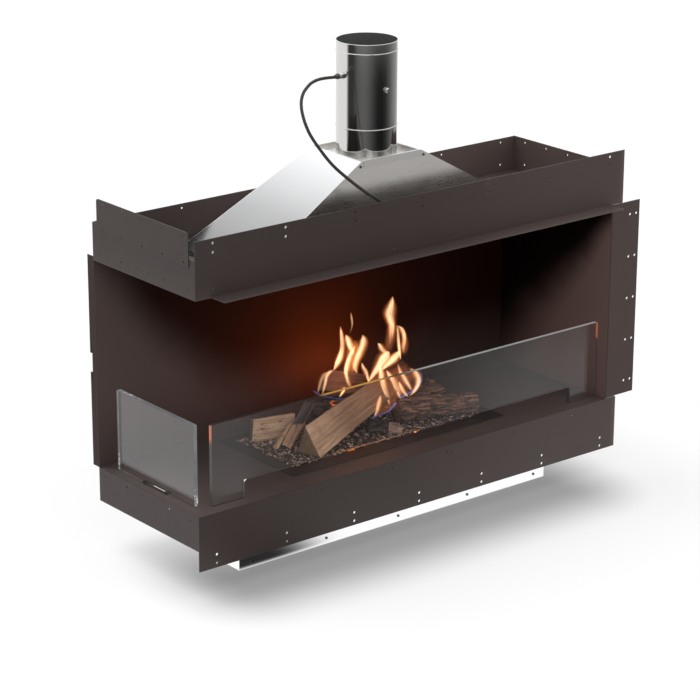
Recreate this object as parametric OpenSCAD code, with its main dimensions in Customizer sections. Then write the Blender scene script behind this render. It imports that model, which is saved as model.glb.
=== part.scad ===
// Built-in fireplace insert, open at the front and at the left side.
// Sheet steel casing, low glass panes, lift-out burner with a log set, smoke hood and flue pipe.
// The origin is the middle of the lower box's bottom face. X runs right along the front,
// Y runs back and Z runs up. All sizes are in millimetres.

/* [Casing] */
// Width of the two front panels
case_w = 1350; // [1200:10:1700]
// Depth from the front panels to the back of the back wall
case_d = 415; // [400:5:600]
// Height of each front panel
fascia_h = 138; // [110:1:180]
// Height of the base's side walls
base_h = 87; // [60:1:120]
// Height of the fire opening between the floor and the top tray
opening_h = 530; // [450:5:700]
// Height of the top tray's side, back and right walls
tray_h = 93; // [85:1:130]
// Thickness of the casing's sheet steel
sheet = 2; // [1.5:0.5:3]
// How far the ledge under the top front panel reaches forward
ledge_d = 51; // [20:1:80]
// Distance from each end of the casing to the end of that ledge
ledge_inset = 45; // [10:1:80]

/* [Firebox] */
// Distance from the casing's right end to the firebox's right wall
wall_inset = 38; // [20:1:60]
// Width of the fixing flange in front of the right wall
side_flange = 100; // [60:1:140]
// Gap above and below that flange
flange_gap = 3; // [1:0.5:6]
// Depth of the fixing flange behind the back wall's left edge
back_flange = 25; // [20:1:40]
// How far the back flange rises above the fire opening
flange_rise = 7; // [0:1:15]
// Height of the hooking notch in the back flange
notch_h = 49; // [30:1:80]
// Depth of the hooking notch
notch_d = 9; // [5:1:14]
// Length of the narrow slot above and below the notch
notch_slot = 24; // [10:1:40]

/* [Fixing holes] */
// Radius of the paired fixing holes
pair_r = 3.5; // [2.5:0.1:5]
// Distance between the two holes of a pair
pair_gap = 22; // [16:1:30]
// Distance from a pair's outer hole to the sheet's free edge
pair_edge = 11; // [8:1:15]
// Number of pairs along each front panel
pair_count = 7; // [3:1:9]
// Distance from the casing's end to the first pair
pair_margin = 51; // [30:1:80]
// Number of pairs on the right flange
flange_pairs = 5; // [3:1:7]
// Distance between the pairs on the right flange
flange_pitch = 113.5; // [80:0.5:120]
// Radius of the small rivet holes
small_r = 1.6; // [1:0.1:2.5]
// Radius of the larger tooling holes
tool_r = 2.6; // [2:0.1:3.5]
// Distance of the small holes from the fire opening's edge
small_edge = 19; // [12:1:25]
// Distance of the first hole on a side wall from the front panel
side_first = 44; // [30:1:60]
// Distance between the holes along a side wall
side_pitch = 82; // [60:1:90]

/* [Side trim plate] */
// Length of the trim plate on the top tray's left wall
trim_w = 371; // [300:1:380]
// Height of the trim plate
trim_h = 84; // [60:1:110]
// Distance from the front panel's face to the trim plate
trim_front = 22; // [10:1:35]
// Height of the trim plate's lower edge above the tray's floor
trim_lift = 71; // [50:1:80]
// Radius of the trim plate's corners
trim_corner = 8; // [2:1:20]
// Distance of the trim plate's hole rows from its edges
trim_edge = 11; // [8:1:16]

/* [Glass] */
// Thickness of the glass panes
glass_t = 10; // [6:1:12]
// Height of the front pane above the floor
front_glass_h = 204; // [150:1:300]
// Height of the side pane above the floor
side_glass_h = 206; // [150:1:300]
// Distance from the front panel's face to the front pane
front_glass_y = 35; // [25:1:50]
// Distance from the left end of the casing to the front pane
front_glass_x = 65; // [55:1:90]
// Width of the front pane's feet
glass_foot_w = 95; // [60:1:140]
// Height of the gap under the middle of the front pane
glass_gap_h = 45; // [20:1:70]
// How far the feet reach down through the floor
foot_depth = 12; // [6:1:20]
// Distance from the left end of the casing to the side pane
side_glass_x = 29; // [20:1:34]
// Distance from the front panel's face to the side pane's front edge
side_glass_y = 57; // [50:1:80]
// Length of the side pane
side_glass_w = 317; // [250:1:320]
// Length of the clip that holds the side pane
clip_w = 103; // [60:1:140]
// Width of each tab on the clip
clip_tab_w = 11; // [6:1:16]
// Height of the clip's tabs above the floor
clip_tab_h = 5; // [3:1:12]
// Thickness of the clips' sheet steel
clip_sheet = 2; // [1:0.5:3]
// Clearance of a glass pane in its clip or slot
glass_gap = 0.3; // [0.2:0.1:1]
// Radius of the panes' corners
glass_corner = 5; // [1:1:10]

/* [Burner] */
// Width of the burner tray over its rim
burner_w = 685; // [600:5:800]
// Distance from the burner tray's back edge to the back of the casing
burner_back = 33; // [20:1:60]
// Distance from the front panel's face to the tray's rim
burner_front = 68; // [55:1:75]
// Width of the rim at both ends
rim_side = 32; // [15:1:50]
// Width of the rim at the front
rim_front = 46; // [20:1:60]
// Width of the rim at the back
rim_back = 20; // [12:1:40]
// Depth of the tray below the floor
pan_depth = 24; // [16:1:40]
// Thickness of the tray's sheet steel
pan_sheet = 2; // [1:0.5:3]
// Length of the flame slot in the tray's floor
flame_slot_w = 420; // [200:10:500]
// Width of the flame slot
flame_slot_d = 30; // [15:1:50]
// Length of the fuel tank under the tray
tank_w = 520; // [440:10:560]
// Depth of the fuel tank from front to back
tank_d = 190; // [120:5:220]
// Height of the fuel tank
tank_h = 95; // [60:5:120]
// Thickness of the fuel tank's walls
tank_wall = 1.5; // [1:0.5:3]
// Clearance of the burner tray in the floor's opening
burner_gap = 2; // [1:0.5:4]
// Height of the bed of chips above the tray's rim
bed_rise = 2; // [0:0.5:3]

/* [Lower box] */
// Length of the lower box
box_w = 1000; // [900:10:1100]
// Distance from the lower box's front to the burner's pan
box_before_pan = 33; // [20:1:45]
// Distance from the burner's pan to the lower box's back
box_behind_pan = 19; // [14:1:30]
// Height of the base above the lower box's bottom
box_drop = 121; // [80:1:160]
// Thickness of the lower box's sheet steel
box_sheet = 1.5; // [1:0.5:3]
// Height of the lower box's removable bottom cover
cover_h = 30; // [22:1:50]
// Width of the lower box's fixing flange under the floor
box_flange = 16; // [12:1:25]

/* [Hood] */
// Length of the hood's foot
hood_w = 912; // [700:2:1000]
// Depth of the hood's foot
hood_d = 280; // [220:2:290]
// Distance from the front panel's face to the hood's foot
hood_front = 87; // [85:1:110]
// Length of the hood's neck
neck_w = 190; // [185:1:230]
// Depth of the hood's neck
neck_d = 196; // [185:1:215]
// Distance from the front of the hood's foot to the front of its neck
neck_front = 32; // [10:1:50]
// Height of the hood above the tray's floor
hood_h = 206; // [150:1:300]
// Height of the hook that holds the collar plate over the front sheet's top edge
hook_h = 15; // [8:1:20]
// Distance from the neck's ends to that hook
hook_inset = 5; // [0:1:20]
// Thickness of the hood's stainless sheet
hood_sheet = 1.5; // [1:0.25:2.5]
// Width of the hood's fixing flange on the tray's floor
hood_flange = 22; // [15:1:26]
// How far the collar plate lies below the top of the neck
collar_drop = 16; // [8:1:20]
// Margin of the tray floor's smoke opening inside the hood's foot
outlet_margin = 30; // [20:1:60]

/* [Flue] */
// Outer radius of the flue pipe
pipe_r = 75; // [60:1:80]
// Thickness of the flue pipe's wall
pipe_wall = 0.8; // [0.6:0.1:2]
// Height of the flue pipe's top above the collar plate
pipe_h = 287; // [200:1:400]
// Depth of the socket at the top of the flue pipe
socket_depth = 24; // [18:1:60]
// Extra thickness of the pipe's wall below the socket
socket_step = 0.8; // [0.4:0.1:1.5]
// Height of the lower bead above the collar plate
bead_lift = 77; // [30:1:100]
// Radius of the beads rolled into the pipe
bead_r = 1.6; // [1:0.1:3]
// Height of the spigot ring that holds the pipe's foot below the collar plate
spigot_h = 30; // [20:1:40]
// Thickness of the spigot ring
spigot_wall = 1.2; // [0.8:0.1:2]
// How much wider the spigot is at its flange
spigot_flare = 2; // [0:0.5:4]
// Width of the spigot's flange under the collar plate
spigot_flange = 7; // [4:1:9]

/* [Sensor and lead] */
// Height of the sensor fitting above the collar plate
sensor_lift = 207; // [120:1:240]
// Radius of the threaded holes in the pipe's wall
port_r = 5; // [4:0.5:6]
// Height of the test port above the collar plate
test_port_lift = 174; // [100:1:240]
// Diameter of the braided lead
lead_d = 8; // [5:0.5:10]
// Length of the fitting outside the pipe
fitting_out = 23; // [18:1:40]
// Length of the probe inside the pipe
probe_in = 20; // [10:1:24]

/* [Logs] */
// Depth of the unevenness in the logs' surfaces
log_rough = 3; // [0:0.5:5]
// Number of rings along each log
log_rings = 9; // [4:1:14]
// Clearance between the logs and what they lie on
log_gap = 0.3; // [0.2:0.1:1]

/* [Hidden] */
$fn = 48;

left_x = -case_w / 2;
right_x = case_w / 2;
burner_d = case_d - burner_front - burner_back;
pan_d = burner_d - rim_front - rim_back;
box_set_back = burner_front + rim_front - box_before_pan;
box_d = pan_d + box_before_pan + box_behind_pan;
front_y = -box_set_back - box_d / 2;
back_y = front_y + case_d;
floor_z = box_drop + base_h;
tray_z = floor_z + opening_h;
wall_x = right_x - wall_inset;
firebox_h = opening_h - sheet;

hood_y0 = front_y + hood_front;
hood_side_run = (hood_w - neck_w) / 2;
hood_back_run = hood_d - neck_front - neck_d;
neck_y0 = hood_y0 + neck_front;
pipe_y = neck_y0 + neck_d / 2;
collar_top = tray_z + hood_h - collar_drop;
sensor_z = collar_top + sensor_lift;
test_port_z = collar_top + test_port_lift;

burner_y = front_y + burner_front + burner_d / 2;
pan_x = burner_w / 2 - rim_side;
pan_y0 = front_y + burner_front + rim_front;
pan_y1 = front_y + burner_front + burner_d - rim_back;
pan_mid_y = (pan_y0 + pan_y1) / 2;
rim_z = floor_z + pan_sheet;
bed_top = rim_z + bed_rise;
log_z = bed_top + log_gap;

coat = [0.24, 0.21, 0.2];
steel = [0.8, 0.81, 0.82];
dark_steel = [0.2, 0.19, 0.18];
bark = [0.27, 0.21, 0.18];
split_wood = [0.52, 0.4, 0.32];
through = 1;

// Spacing shared by the rows of holes along the front panels
front_pitch = (case_w - 2 * pair_margin) / (pair_count - 1);

function front_x(i) = left_x + pair_margin + i * front_pitch;
function side_y(i) = front_y + side_first + i * side_pitch;
side_holes = floor((case_d - 2 * side_first + 1) / side_pitch);
tool_x = 88;

// A drill along Y through a sheet whose front face is at y
module drill_y(x, y, z, r, depth) {
  translate([x, y - through, z]) rotate([-90, 0, 0]) cylinder(r = r, h = depth + 2 * through);
}

// A drill along X through a sheet whose left face is at x
module drill_x(x, y, z, r, depth) {
  translate([x - through, y, z]) rotate([0, 90, 0]) cylinder(r = r, h = depth + 2 * through);
}

// A box given by its lowest corner and its highest corner
module block(low, high) {
  translate(low) cube(high - low);
}

// A flat outline in the XZ plane, given thickness along Y from y
module upright_y(y, thickness) {
  translate([0, y + thickness, 0]) rotate([90, 0, 0]) linear_extrude(thickness) children();
}

// A flat outline drawn as [y, z], given thickness along X from x
module upright_x(x, thickness) {
  translate([x, 0, 0]) rotate([90, 0, 90]) linear_extrude(thickness) children();
}

module rounded_rect(w, h, r) {
  hull() {
    for (x = [r, w - r], y = [r, h - r]) translate([x, y]) circle(r = r, $fn = 32);
  }
}

// Base

module base_floor() color(coat) difference() {
  block([left_x + sheet, front_y + sheet, floor_z - sheet], [right_x - sheet, back_y - sheet, floor_z]);
  block(
    [-pan_x - pan_sheet - burner_gap, pan_y0 - pan_sheet - burner_gap, floor_z - sheet - through],
    [pan_x + pan_sheet + burner_gap, pan_y1 + pan_sheet + burner_gap, floor_z + through]
  );
  for (x = clip_slots) translate([x, clip_y0, floor_z - sheet - through])
    cube([clip_slot_w, clip_w, sheet + 2 * through]);
  for (x = foot_xs) translate([x - glass_gap, front_glass_y0 - glass_gap, floor_z - sheet - through])
    cube([glass_foot_w + 2 * glass_gap, glass_t + 2 * glass_gap, sheet + 2 * through]);
}

module base_front_panel() color(coat) difference() {
  block([left_x, front_y, floor_z - fascia_h], [right_x, front_y + sheet, floor_z]);
  for (i = [0:pair_count - 1], k = [0:1])
    drill_y(front_x(i), front_y, floor_z - fascia_h + pair_edge + k * pair_gap, pair_r, sheet);
  for (i = [0:pair_count - 2])
    drill_y(front_x(i + 0.5), front_y, floor_z - small_edge, small_r, sheet);
  for (s = [-1, 1]) drill_y(s * tool_x, front_y, floor_z - small_edge + 2, tool_r, sheet);
}

// Rivet and tooling holes of a side wall, at height z near the fire opening
module side_wall_holes(x, z) {
  for (y = [side_first - 14, case_d / 2 - 25, case_d / 2 + 27, case_d - 27])
    drill_x(x, front_y + y, z, small_r, sheet);
  for (y = [case_d / 2 - 86, case_d / 2 + 88]) drill_x(x, front_y + y, z + 1, tool_r, sheet);
}

module base_end_panel(x) difference() {
  block([x, front_y + sheet, box_drop], [x + sheet, back_y, floor_z]);
  for (i = [0:side_holes]) drill_x(x, side_y(i), box_drop + pair_edge - 2, small_r, sheet);
  side_wall_holes(x, floor_z - small_edge + 2);
}

module base_side_panel() color(coat) base_end_panel(left_x);

module base_right_panel() color(coat) base_end_panel(right_x - sheet);

module base_back_panel() color(coat)
  block([left_x + sheet, back_y - sheet, box_drop], [right_x - sheet, back_y, floor_z]);

// Firebox

module firebox_back_wall() color(coat) difference() {
  union() {
    block([left_x, back_y - sheet, floor_z], [wall_x, back_y, floor_z + firebox_h]);
    block(
      [left_x, back_y - sheet, floor_z],
      [left_x + sheet, back_y + back_flange, floor_z + firebox_h]
    );
    block(
      [left_x, back_y, floor_z],
      [left_x + sheet, back_y + back_flange, tray_z + flange_rise]
    );
  }
  translate([left_x - through, back_y + back_flange - notch_d, floor_z + opening_h / 2 - notch_h / 2])
    cube([sheet + 2 * through, notch_d + through, notch_h]);
  translate([
    left_x - through, back_y + back_flange - notch_d, floor_z + opening_h / 2 - notch_h / 2 - notch_slot
  ])
    cube([sheet + 2 * through, notch_d / 3, notch_h + 2 * notch_slot]);
}

module firebox_right_wall() color(coat) difference() {
  union() {
    block([wall_x, front_y, floor_z], [wall_x + sheet, back_y, floor_z + firebox_h]);
    block(
      [wall_x, front_y, floor_z + flange_gap],
      [wall_x + side_flange, front_y + sheet, tray_z - flange_gap]
    );
  }
  for (i = [0:flange_pairs - 1], k = [0:1]) drill_y(
    wall_x + side_flange - pair_edge - k * pair_gap, front_y,
    floor_z + opening_h / 2 + (i - (flange_pairs - 1) / 2) * flange_pitch, pair_r, sheet
  );
}

// Top tray

module top_tray_floor() color(coat) difference() {
  union() {
    block([left_x, front_y, tray_z - sheet], [right_x, back_y, tray_z]);
    block(
      [left_x + ledge_inset, front_y - ledge_d, tray_z - sheet],
      [right_x - ledge_inset, front_y, tray_z]
    );
  }
  block(
    [-hood_w / 2 + outlet_margin, hood_y0 + outlet_margin, tray_z - sheet - through],
    [hood_w / 2 - outlet_margin, hood_y0 + hood_d - outlet_margin, tray_z + through]
  );
  for (p = hood_screw_places) translate([p[0], p[1], tray_z - sheet - through])
    cylinder(r = screw_r + screw_gap, h = sheet + 2 * through, $fn = 24);
}

module top_front_panel() color(coat) difference() {
  block([left_x, front_y, tray_z], [right_x, front_y + sheet, tray_z + fascia_h]);
  for (i = [0:pair_count - 1], k = [0:1])
    drill_y(front_x(i), front_y, tray_z + fascia_h - pair_edge - k * pair_gap, pair_r, sheet);
  for (i = [0:pair_count - 1]) drill_y(front_x(i), front_y, tray_z + small_edge, small_r, sheet);
  for (s = [-1, 1]) drill_y(s * tool_x, front_y, tray_z + small_edge - 2, tool_r, sheet);
}

module top_side_panel() color(coat) difference() {
  block([left_x, front_y + sheet, tray_z], [left_x + sheet, back_y, tray_z + tray_h]);
  side_wall_holes(left_x, tray_z + small_edge + 1);
}

module top_right_panel() color(coat) difference() {
  block([right_x - sheet, front_y + sheet, tray_z], [right_x, back_y, tray_z + tray_h]);
  for (i = [0:side_holes], z = [small_edge + 2, tray_h - pair_edge])
    drill_x(right_x - sheet, side_y(i), tray_z + z, tool_r, sheet);
  drill_x(right_x - sheet, lead_end[1], lead_end[2], gland_r + screw_gap, sheet);
}

module top_back_panel() color(coat) difference() {
  block([left_x + sheet, back_y - sheet, tray_z], [right_x - sheet, back_y, tray_z + tray_h]);
  for (i = [0:pair_count - 1], z = [small_edge + 2, tray_h - pair_edge])
    drill_y(front_x(i), back_y - sheet, tray_z + z, tool_r, sheet);
}

module side_trim_plate() color(coat) difference() {
  upright_x(left_x - sheet, sheet)
    translate([front_y + trim_front, tray_z + trim_lift]) rounded_rect(trim_w, trim_h, trim_corner);
  for (i = [0:side_holes], z = [trim_edge, trim_h - trim_edge])
    drill_x(left_x - sheet, side_y(i) - 2, tray_z + trim_lift + z, small_r + 0.4, sheet);
}

// Hood

// Section of a hood sheet that leans inwards by run. The first value counts inwards from
// the foot, the second upwards from the tray's floor.
function slope_t(run) = hood_sheet * norm([run, hood_h]) / hood_h;
function sheet_section(run) = [
  [-hood_flange, 0],
  [-hood_flange, hood_sheet],
  [run * hood_sheet / hood_h, hood_sheet],
  [run, hood_h],
  [run + slope_t(run), hood_h],
  [slope_t(run), 0]
];

// Front and back sheets reach from hip to hip
module hood_face_outline() polygon([
  [-hood_w / 2, 0],
  [-neck_w / 2, hood_h],
  [neck_w / 2, hood_h],
  [hood_w / 2, 0]
]);

// End sheets fit between the front and back sheets
module hood_end_outline() polygon([
  [slope_t(neck_front), 0],
  [neck_front + slope_t(neck_front), hood_h],
  [hood_d - hood_back_run - slope_t(hood_back_run), hood_h],
  [hood_d - slope_t(hood_back_run), 0]
]);

// Tab at the top of an end sheet, which laps behind the front sheet and is riveted to it
lap_low = hood_h - 22;
lap_high = hood_h - 3;
lap_gap = 0.1;
function lap_y(z) = neck_front * z / hood_h + slope_t(neck_front) + lap_gap;
function lap_x(z) = hood_side_run * z / hood_h + hood_sheet;
module lap_tab() intersection() {
  rotate([90, 0, 90]) linear_extrude(hood_w / 2) polygon([
    [lap_y(lap_low), lap_low],
    [lap_y(lap_high), lap_high],
    [lap_y(lap_high) + hood_sheet, lap_high],
    [lap_y(lap_low) + hood_sheet, lap_low]
  ]);
  translate([0, hood_d, 0]) rotate([90, 0, 0]) linear_extrude(hood_d + through) polygon([
    [lap_x(lap_low), lap_low],
    [hood_side_run + lap_gap, lap_low],
    [hood_side_run + lap_gap, lap_high],
    [lap_x(lap_high), lap_high]
  ]);
}

module hood_face(run) intersection() {
  translate([-hood_w / 2, 0, 0]) rotate([90, 0, 90]) linear_extrude(hood_w) polygon(sheet_section(run));
  translate([0, hood_d, 0]) rotate([90, 0, 0]) linear_extrude(hood_d + hood_flange + through)
    hood_face_outline();
}

module hood_end() intersection() {
  translate([0, hood_d, 0]) rotate([90, 0, 0]) linear_extrude(hood_d) polygon(sheet_section(hood_side_run));
  translate([-hood_flange - through, 0, 0]) rotate([90, 0, 90]) linear_extrude(hood_w)
    hood_end_outline();
}

module at_rivets() for (s = [-1, 1])
  translate([s * rivet_x, hood_y0 + neck_front * rivet_up / hood_h, tray_z + rivet_up])
    rotate([90 - atan(neck_front / hood_h), 0, 0]) children();

module hood_rivet_drills() at_rivets()
  translate([0, 0, -4 * hood_sheet]) cylinder(r = rivet_r + screw_gap, h = 5 * hood_sheet, $fn = 24);

module hood_screw_drills() for (p = hood_screw_places) translate([p[0], p[1], tray_z - through])
  cylinder(r = screw_r + screw_gap, h = hood_sheet + 2 * through, $fn = 24);

module hood_front_sheet() color(steel) difference() {
  translate([0, hood_y0, tray_z]) hood_face(neck_front);
  hood_rivet_drills();
  hood_screw_drills();
}

module hood_back_sheet() color(steel) difference() {
  translate([0, hood_y0 + hood_d, tray_z]) rotate([0, 0, 180]) hood_face(hood_back_run);
  hood_screw_drills();
}

module hood_left_sheet() color(steel) difference() {
  translate([-hood_w / 2, hood_y0, tray_z]) {
    hood_end();
    lap_tab();
  }
  hood_rivet_drills();
  hood_screw_drills();
}

module hood_right_sheet() color(steel) difference() {
  translate([hood_w / 2, hood_y0, tray_z]) mirror([1, 0, 0]) {
    hood_end();
    lap_tab();
  }
  hood_rivet_drills();
  hood_screw_drills();
}

collar_gap = 0.2;
rim_x = neck_w / 2 - slope_t(hood_side_run) - collar_gap;
rim_y0 = neck_y0 + slope_t(neck_front) + collar_gap;
rim_y1 = neck_y0 + neck_d - slope_t(hood_back_run) - collar_gap;
hood_top = tray_z + hood_h;
function hook_y(z) = neck_y0 - neck_front * (hood_top - z) / hood_h - collar_gap;
hook_x = neck_w / 2 - hook_inset;
hook_top = hood_top + collar_gap + hood_sheet;
hook_foot = hood_top - hook_h;

// The plate is a shallow tray, and its front wall hooks over the front sheet's top edge
module hood_collar_plate() color(steel) difference() {
  union() {
    block([-rim_x, rim_y0, collar_top - hood_sheet], [rim_x, rim_y1, hood_top]);
    block(
      [-hook_x, hook_y(hook_top) - slope_t(neck_front), hood_top + collar_gap],
      [hook_x, rim_y0 + hood_sheet, hook_top]
    );
    upright_x(-hook_x, 2 * hook_x) polygon([
      [hook_y(hook_foot), hook_foot],
      [hook_y(hook_top), hook_top],
      [hook_y(hook_top) - slope_t(neck_front), hook_top],
      [hook_y(hook_foot) - slope_t(neck_front), hook_foot]
    ]);
    block([-hook_x, rim_y0, hood_top - hood_sheet], [hook_x, rim_y0 + hood_sheet, hook_top]);
  }
  block(
    [-rim_x + hood_sheet, rim_y0 + hood_sheet, collar_top],
    [rim_x - hood_sheet, rim_y1 - hood_sheet, hook_top + through]
  );
  translate([0, pipe_y, collar_top - hood_sheet - through])
    cylinder(r = pipe_r + pipe_gap, h = hood_sheet + 2 * through, $fn = 96);
}

rivet_r = 2;
rivet_head_r = 3.4;
rivet_head_h = 1.2;
rivet_x = neck_w / 2 + 4;
rivet_up = hood_h - 12;

module collar_rivets() color(dark_steel) at_rivets() union() {
  cylinder(r = rivet_head_r, h = rivet_head_h, $fn = 24);
  translate([0, 0, -2 * hood_sheet - lap_gap]) cylinder(r = rivet_r, h = 2 * hood_sheet + lap_gap, $fn = 24);
}

screw_r = 2;
screw_head_r = 3.8;
screw_head_h = 2.2;
screw_gap = 0.15;
hood_screw_places = concat(
  [for (i = [-2:2], y = [hood_y0 - hood_flange / 2, hood_y0 + hood_d + hood_flange / 2])
    [i * (hood_w - 80) / 4, y]],
  [for (s = [-1, 1], k = [-1, 1])
    [s * (hood_w / 2 + hood_flange / 2), hood_y0 + hood_d / 2 + k * hood_d / 4]]
);

module hood_fixing_screws() color(steel) for (p = hood_screw_places)
  translate([p[0], p[1], tray_z + hood_sheet]) union() {
    cylinder(r = screw_head_r, h = screw_head_h, $fn = 24);
    translate([0, 0, -hood_sheet - sheet]) cylinder(r = screw_r, h = hood_sheet + sheet, $fn = 24);
  }

// Flue

pipe_gap = 0.2;
pipe_foot = hood_sheet + spigot_h - 5;

module flue_spigot() color(steel) translate([0, pipe_y, collar_top - hood_sheet]) mirror([0, 0, 1])
  rotate_extrude($fn = 96) polygon([
    [pipe_r + pipe_gap, 0],
    [pipe_r + pipe_gap, spigot_h],
    [pipe_r + pipe_gap + spigot_wall, spigot_h],
    [pipe_r + pipe_gap + spigot_wall, spigot_h / 2],
    [pipe_r + pipe_gap + spigot_wall + spigot_flare, spigot_wall + spigot_flare],
    [pipe_r + pipe_gap + spigot_wall + spigot_flange, spigot_wall],
    [pipe_r + pipe_gap + spigot_wall + spigot_flange, 0]
  ]);

// Half-round bead on the outside of the pipe at height z, as the points of an arc
function bead(z) = [for (a = [-90:30:90]) [pipe_r + bead_r * cos(a), z + bead_r * sin(a)]];

module flue_pipe() color(steel) difference() {
  translate([0, pipe_y, collar_top]) rotate_extrude($fn = 96) polygon(concat(
    [[pipe_r - pipe_wall - socket_step, -pipe_foot], [pipe_r, -pipe_foot]],
    bead(bead_lift),
    bead(pipe_h - socket_depth),
    [
      [pipe_r, pipe_h - bead_r],
      [pipe_r + bead_r / 2, pipe_h - bead_r / 2],
      [pipe_r, pipe_h],
      [pipe_r - pipe_wall, pipe_h],
      [pipe_r - pipe_wall, pipe_h - socket_depth],
      [pipe_r - pipe_wall - socket_step, pipe_h - socket_depth]
    ]
  ));
  translate([-pipe_r - through, pipe_y, sensor_z]) rotate([0, 90, 0])
    cylinder(r = port_r + screw_gap, h = pipe_r, $fn = 32);
  translate([0, pipe_y + through, test_port_z]) rotate([90, 0, 0])
    cylinder(r = port_r + screw_gap, h = pipe_r + 2 * through, $fn = 32);
}

nut_flats = 17;
nut_h = 7;
ferrule_r = 7;

module sensor_fitting() color(dark_steel)
  translate([-pipe_r, pipe_y, sensor_z]) rotate([0, -90, 0]) union() {
  translate([0, 0, -4]) cylinder(r = port_r, h = 5, $fn = 32);
  translate([0, 0, 0.4]) cylinder(r = nut_flats / 2 / cos(30), h = nut_h, $fn = 6);
  translate([0, 0, nut_h]) rotate_extrude($fn = 32) polygon([
    [0, 0],
    [ferrule_r, 0],
    [ferrule_r, fitting_out - nut_h - 6],
    [lead_d / 2 + 1, fitting_out - nut_h],
    [0, fitting_out - nut_h]
  ]);
}

module sensor_probe() color(steel) translate([-pipe_r + 4, pipe_y, sensor_z]) rotate([0, 90, 0]) union() {
  cylinder(r = port_r / 2, h = probe_in - 4 - port_r / 2, $fn = 24);
  translate([0, 0, probe_in - 4 - port_r / 2]) sphere(r = port_r / 2, $fn = 24);
}

module test_port_plug() color(steel) translate([0, pipe_y - pipe_r, test_port_z]) rotate([90, 0, 0])
  difference() {
    union() {
      translate([0, 0, -4]) cylinder(r = port_r, h = 5, $fn = 32);
      translate([0, 0, 0.5]) cylinder(r = port_r + 2, h = 4, $fn = 32);
      translate([0, 0, 4.5]) cylinder(r1 = port_r + 1, r2 = port_r - 1, h = 2.5, $fn = 32);
    }
    translate([-port_r - 3, -0.8, 5]) cube([2 * port_r + 6, 1.6, 3]);
  }

// Braided lead from the fitting to the gland in the tray's right wall

gland_r = 6;
gland_nose = 16;
lead_in = 19;
gland_lift = 13;
lead_start = [-pipe_r - fitting_out, pipe_y, sensor_z];
lead_end = [right_x - sheet - gland_nose, front_y + lead_in, tray_z + gland_lift];
// Measured from the middle of the front panel's face and the top tray's floor
lead_offsets = [
  [-125, 216, 398], [-154, 211, 399], [-180, 204, 396], [-200, 196, 389], [-218, 187, 380],
  [-232, 177, 366], [-241, 165, 349], [-245, 153, 331], [-246, 141, 313], [-243, 128, 292],
  [-233, 109, 264], [-213, 85, 226], [-182, 65, 191], [-141, 50, 155], [-95, 39, 122],
  [-45, 32, 87], [10, 26, 52], [65, 22, 24], [120, 20, 9], [180, 21, 5],
  [260, 23, 5], [340, 21, 5], [420, 17, 5], [500, 17, 5], [570, 19, 7],
  [620, 19, 11]
];
lead_route = [for (p = lead_offsets) p + [0, front_y, tray_z]];
lead_points = concat([lead_start], lead_route, [lead_end]);
lead_sides = 8;

// Smooth curve through the route: two steps between neighbouring points
function spline(a, b, c, d, t) =
  0.5 * (2 * b + (c - a) * t + (2 * a - 5 * b + 4 * c - d) * t * t + (3 * b - a - 3 * c + d) * t * t * t);
function near(i) = lead_points[max(0, min(len(lead_points) - 1, i))];
lead_path = concat(
  [for (i = [0:len(lead_points) - 2], t = [0, 0.5])
    spline(near(i - 1), near(i), near(i + 1), near(i + 2), t)],
  [lead_end]
);

function unit(v) = v / norm(v);
function heading(i) =
  i == 0 ? [-1, 0, 0] :
  i == len(lead_path) - 1 ? [1, 0, 0] :
  unit(lead_path[i + 1] - lead_path[i - 1]);

// A ring's side direction is the last one made square to the new heading, so the tube doesn't twist
function side_dirs(i, last) =
  i == len(lead_path) ? [] :
  let (s = unit(last - heading(i) * (last * heading(i)))) concat([s], side_dirs(i + 1, s));
lead_side_dirs = side_dirs(0, [0, 1, 0]);

module sensor_lead() color([0.13, 0.11, 0.1]) polyhedron(
  points = [
    for (i = [0:len(lead_path) - 1], k = [0:lead_sides - 1])
      lead_path[i] + lead_d / 2 * (
        cos(k * 360 / lead_sides) * lead_side_dirs[i]
        + sin(k * 360 / lead_sides) * cross(heading(i), lead_side_dirs[i])
      )
  ],
  faces = concat(
    [[for (k = [0:lead_sides - 1]) k]],
    [for (i = [0:len(lead_path) - 2], k = [0:lead_sides - 1]) let (n = (k + 1) % lead_sides)
      [i * lead_sides + k, (i + 1) * lead_sides + k, (i + 1) * lead_sides + n, i * lead_sides + n]],
    [[for (k = [lead_sides - 1:-1:0]) (len(lead_path) - 1) * lead_sides + k]]
  )
);

module lead_gland() color(dark_steel) translate(lead_end) rotate([0, 90, 0]) union() {
  cylinder(r1 = lead_d / 2 + 2, r2 = gland_r + 2, h = 6, $fn = 32);
  translate([0, 0, 6]) cylinder(r = gland_r + 4, h = gland_nose - 6, $fn = 6);
  translate([0, 0, gland_nose - 1]) cylinder(r = gland_r, h = sheet + 8, $fn = 32);
  translate([0, 0, gland_nose + sheet]) cylinder(r = gland_r + 4, h = 5, $fn = 6);
}

// Lower box

box_top = floor_z - sheet;

module lower_box() color(steel) difference() {
  union() {
    block([-box_w / 2, -box_d / 2, cover_h], [box_w / 2, box_d / 2, box_top]);
    block(
      [-box_w / 2 - box_flange, -box_d / 2 - box_flange, box_top - box_sheet],
      [box_w / 2 + box_flange, box_d / 2 + box_flange, box_top]
    );
    block(
      [-box_w / 2 + box_sheet, -box_d / 2 + box_sheet, box_sheet],
      [box_w / 2 - box_sheet, box_d / 2 - box_sheet, box_top]
    );
  }
  block(
    [-box_w / 2 + 2 * box_sheet, -box_d / 2 + 2 * box_sheet, -through],
    [box_w / 2 - 2 * box_sheet, box_d / 2 - 2 * box_sheet, box_top + through]
  );
  cover_screw_drills();
}

cover_screw_places = [for (i = [-2:2], s = [-1, 1]) [i * (box_w - 74) / 4, s]];

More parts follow.
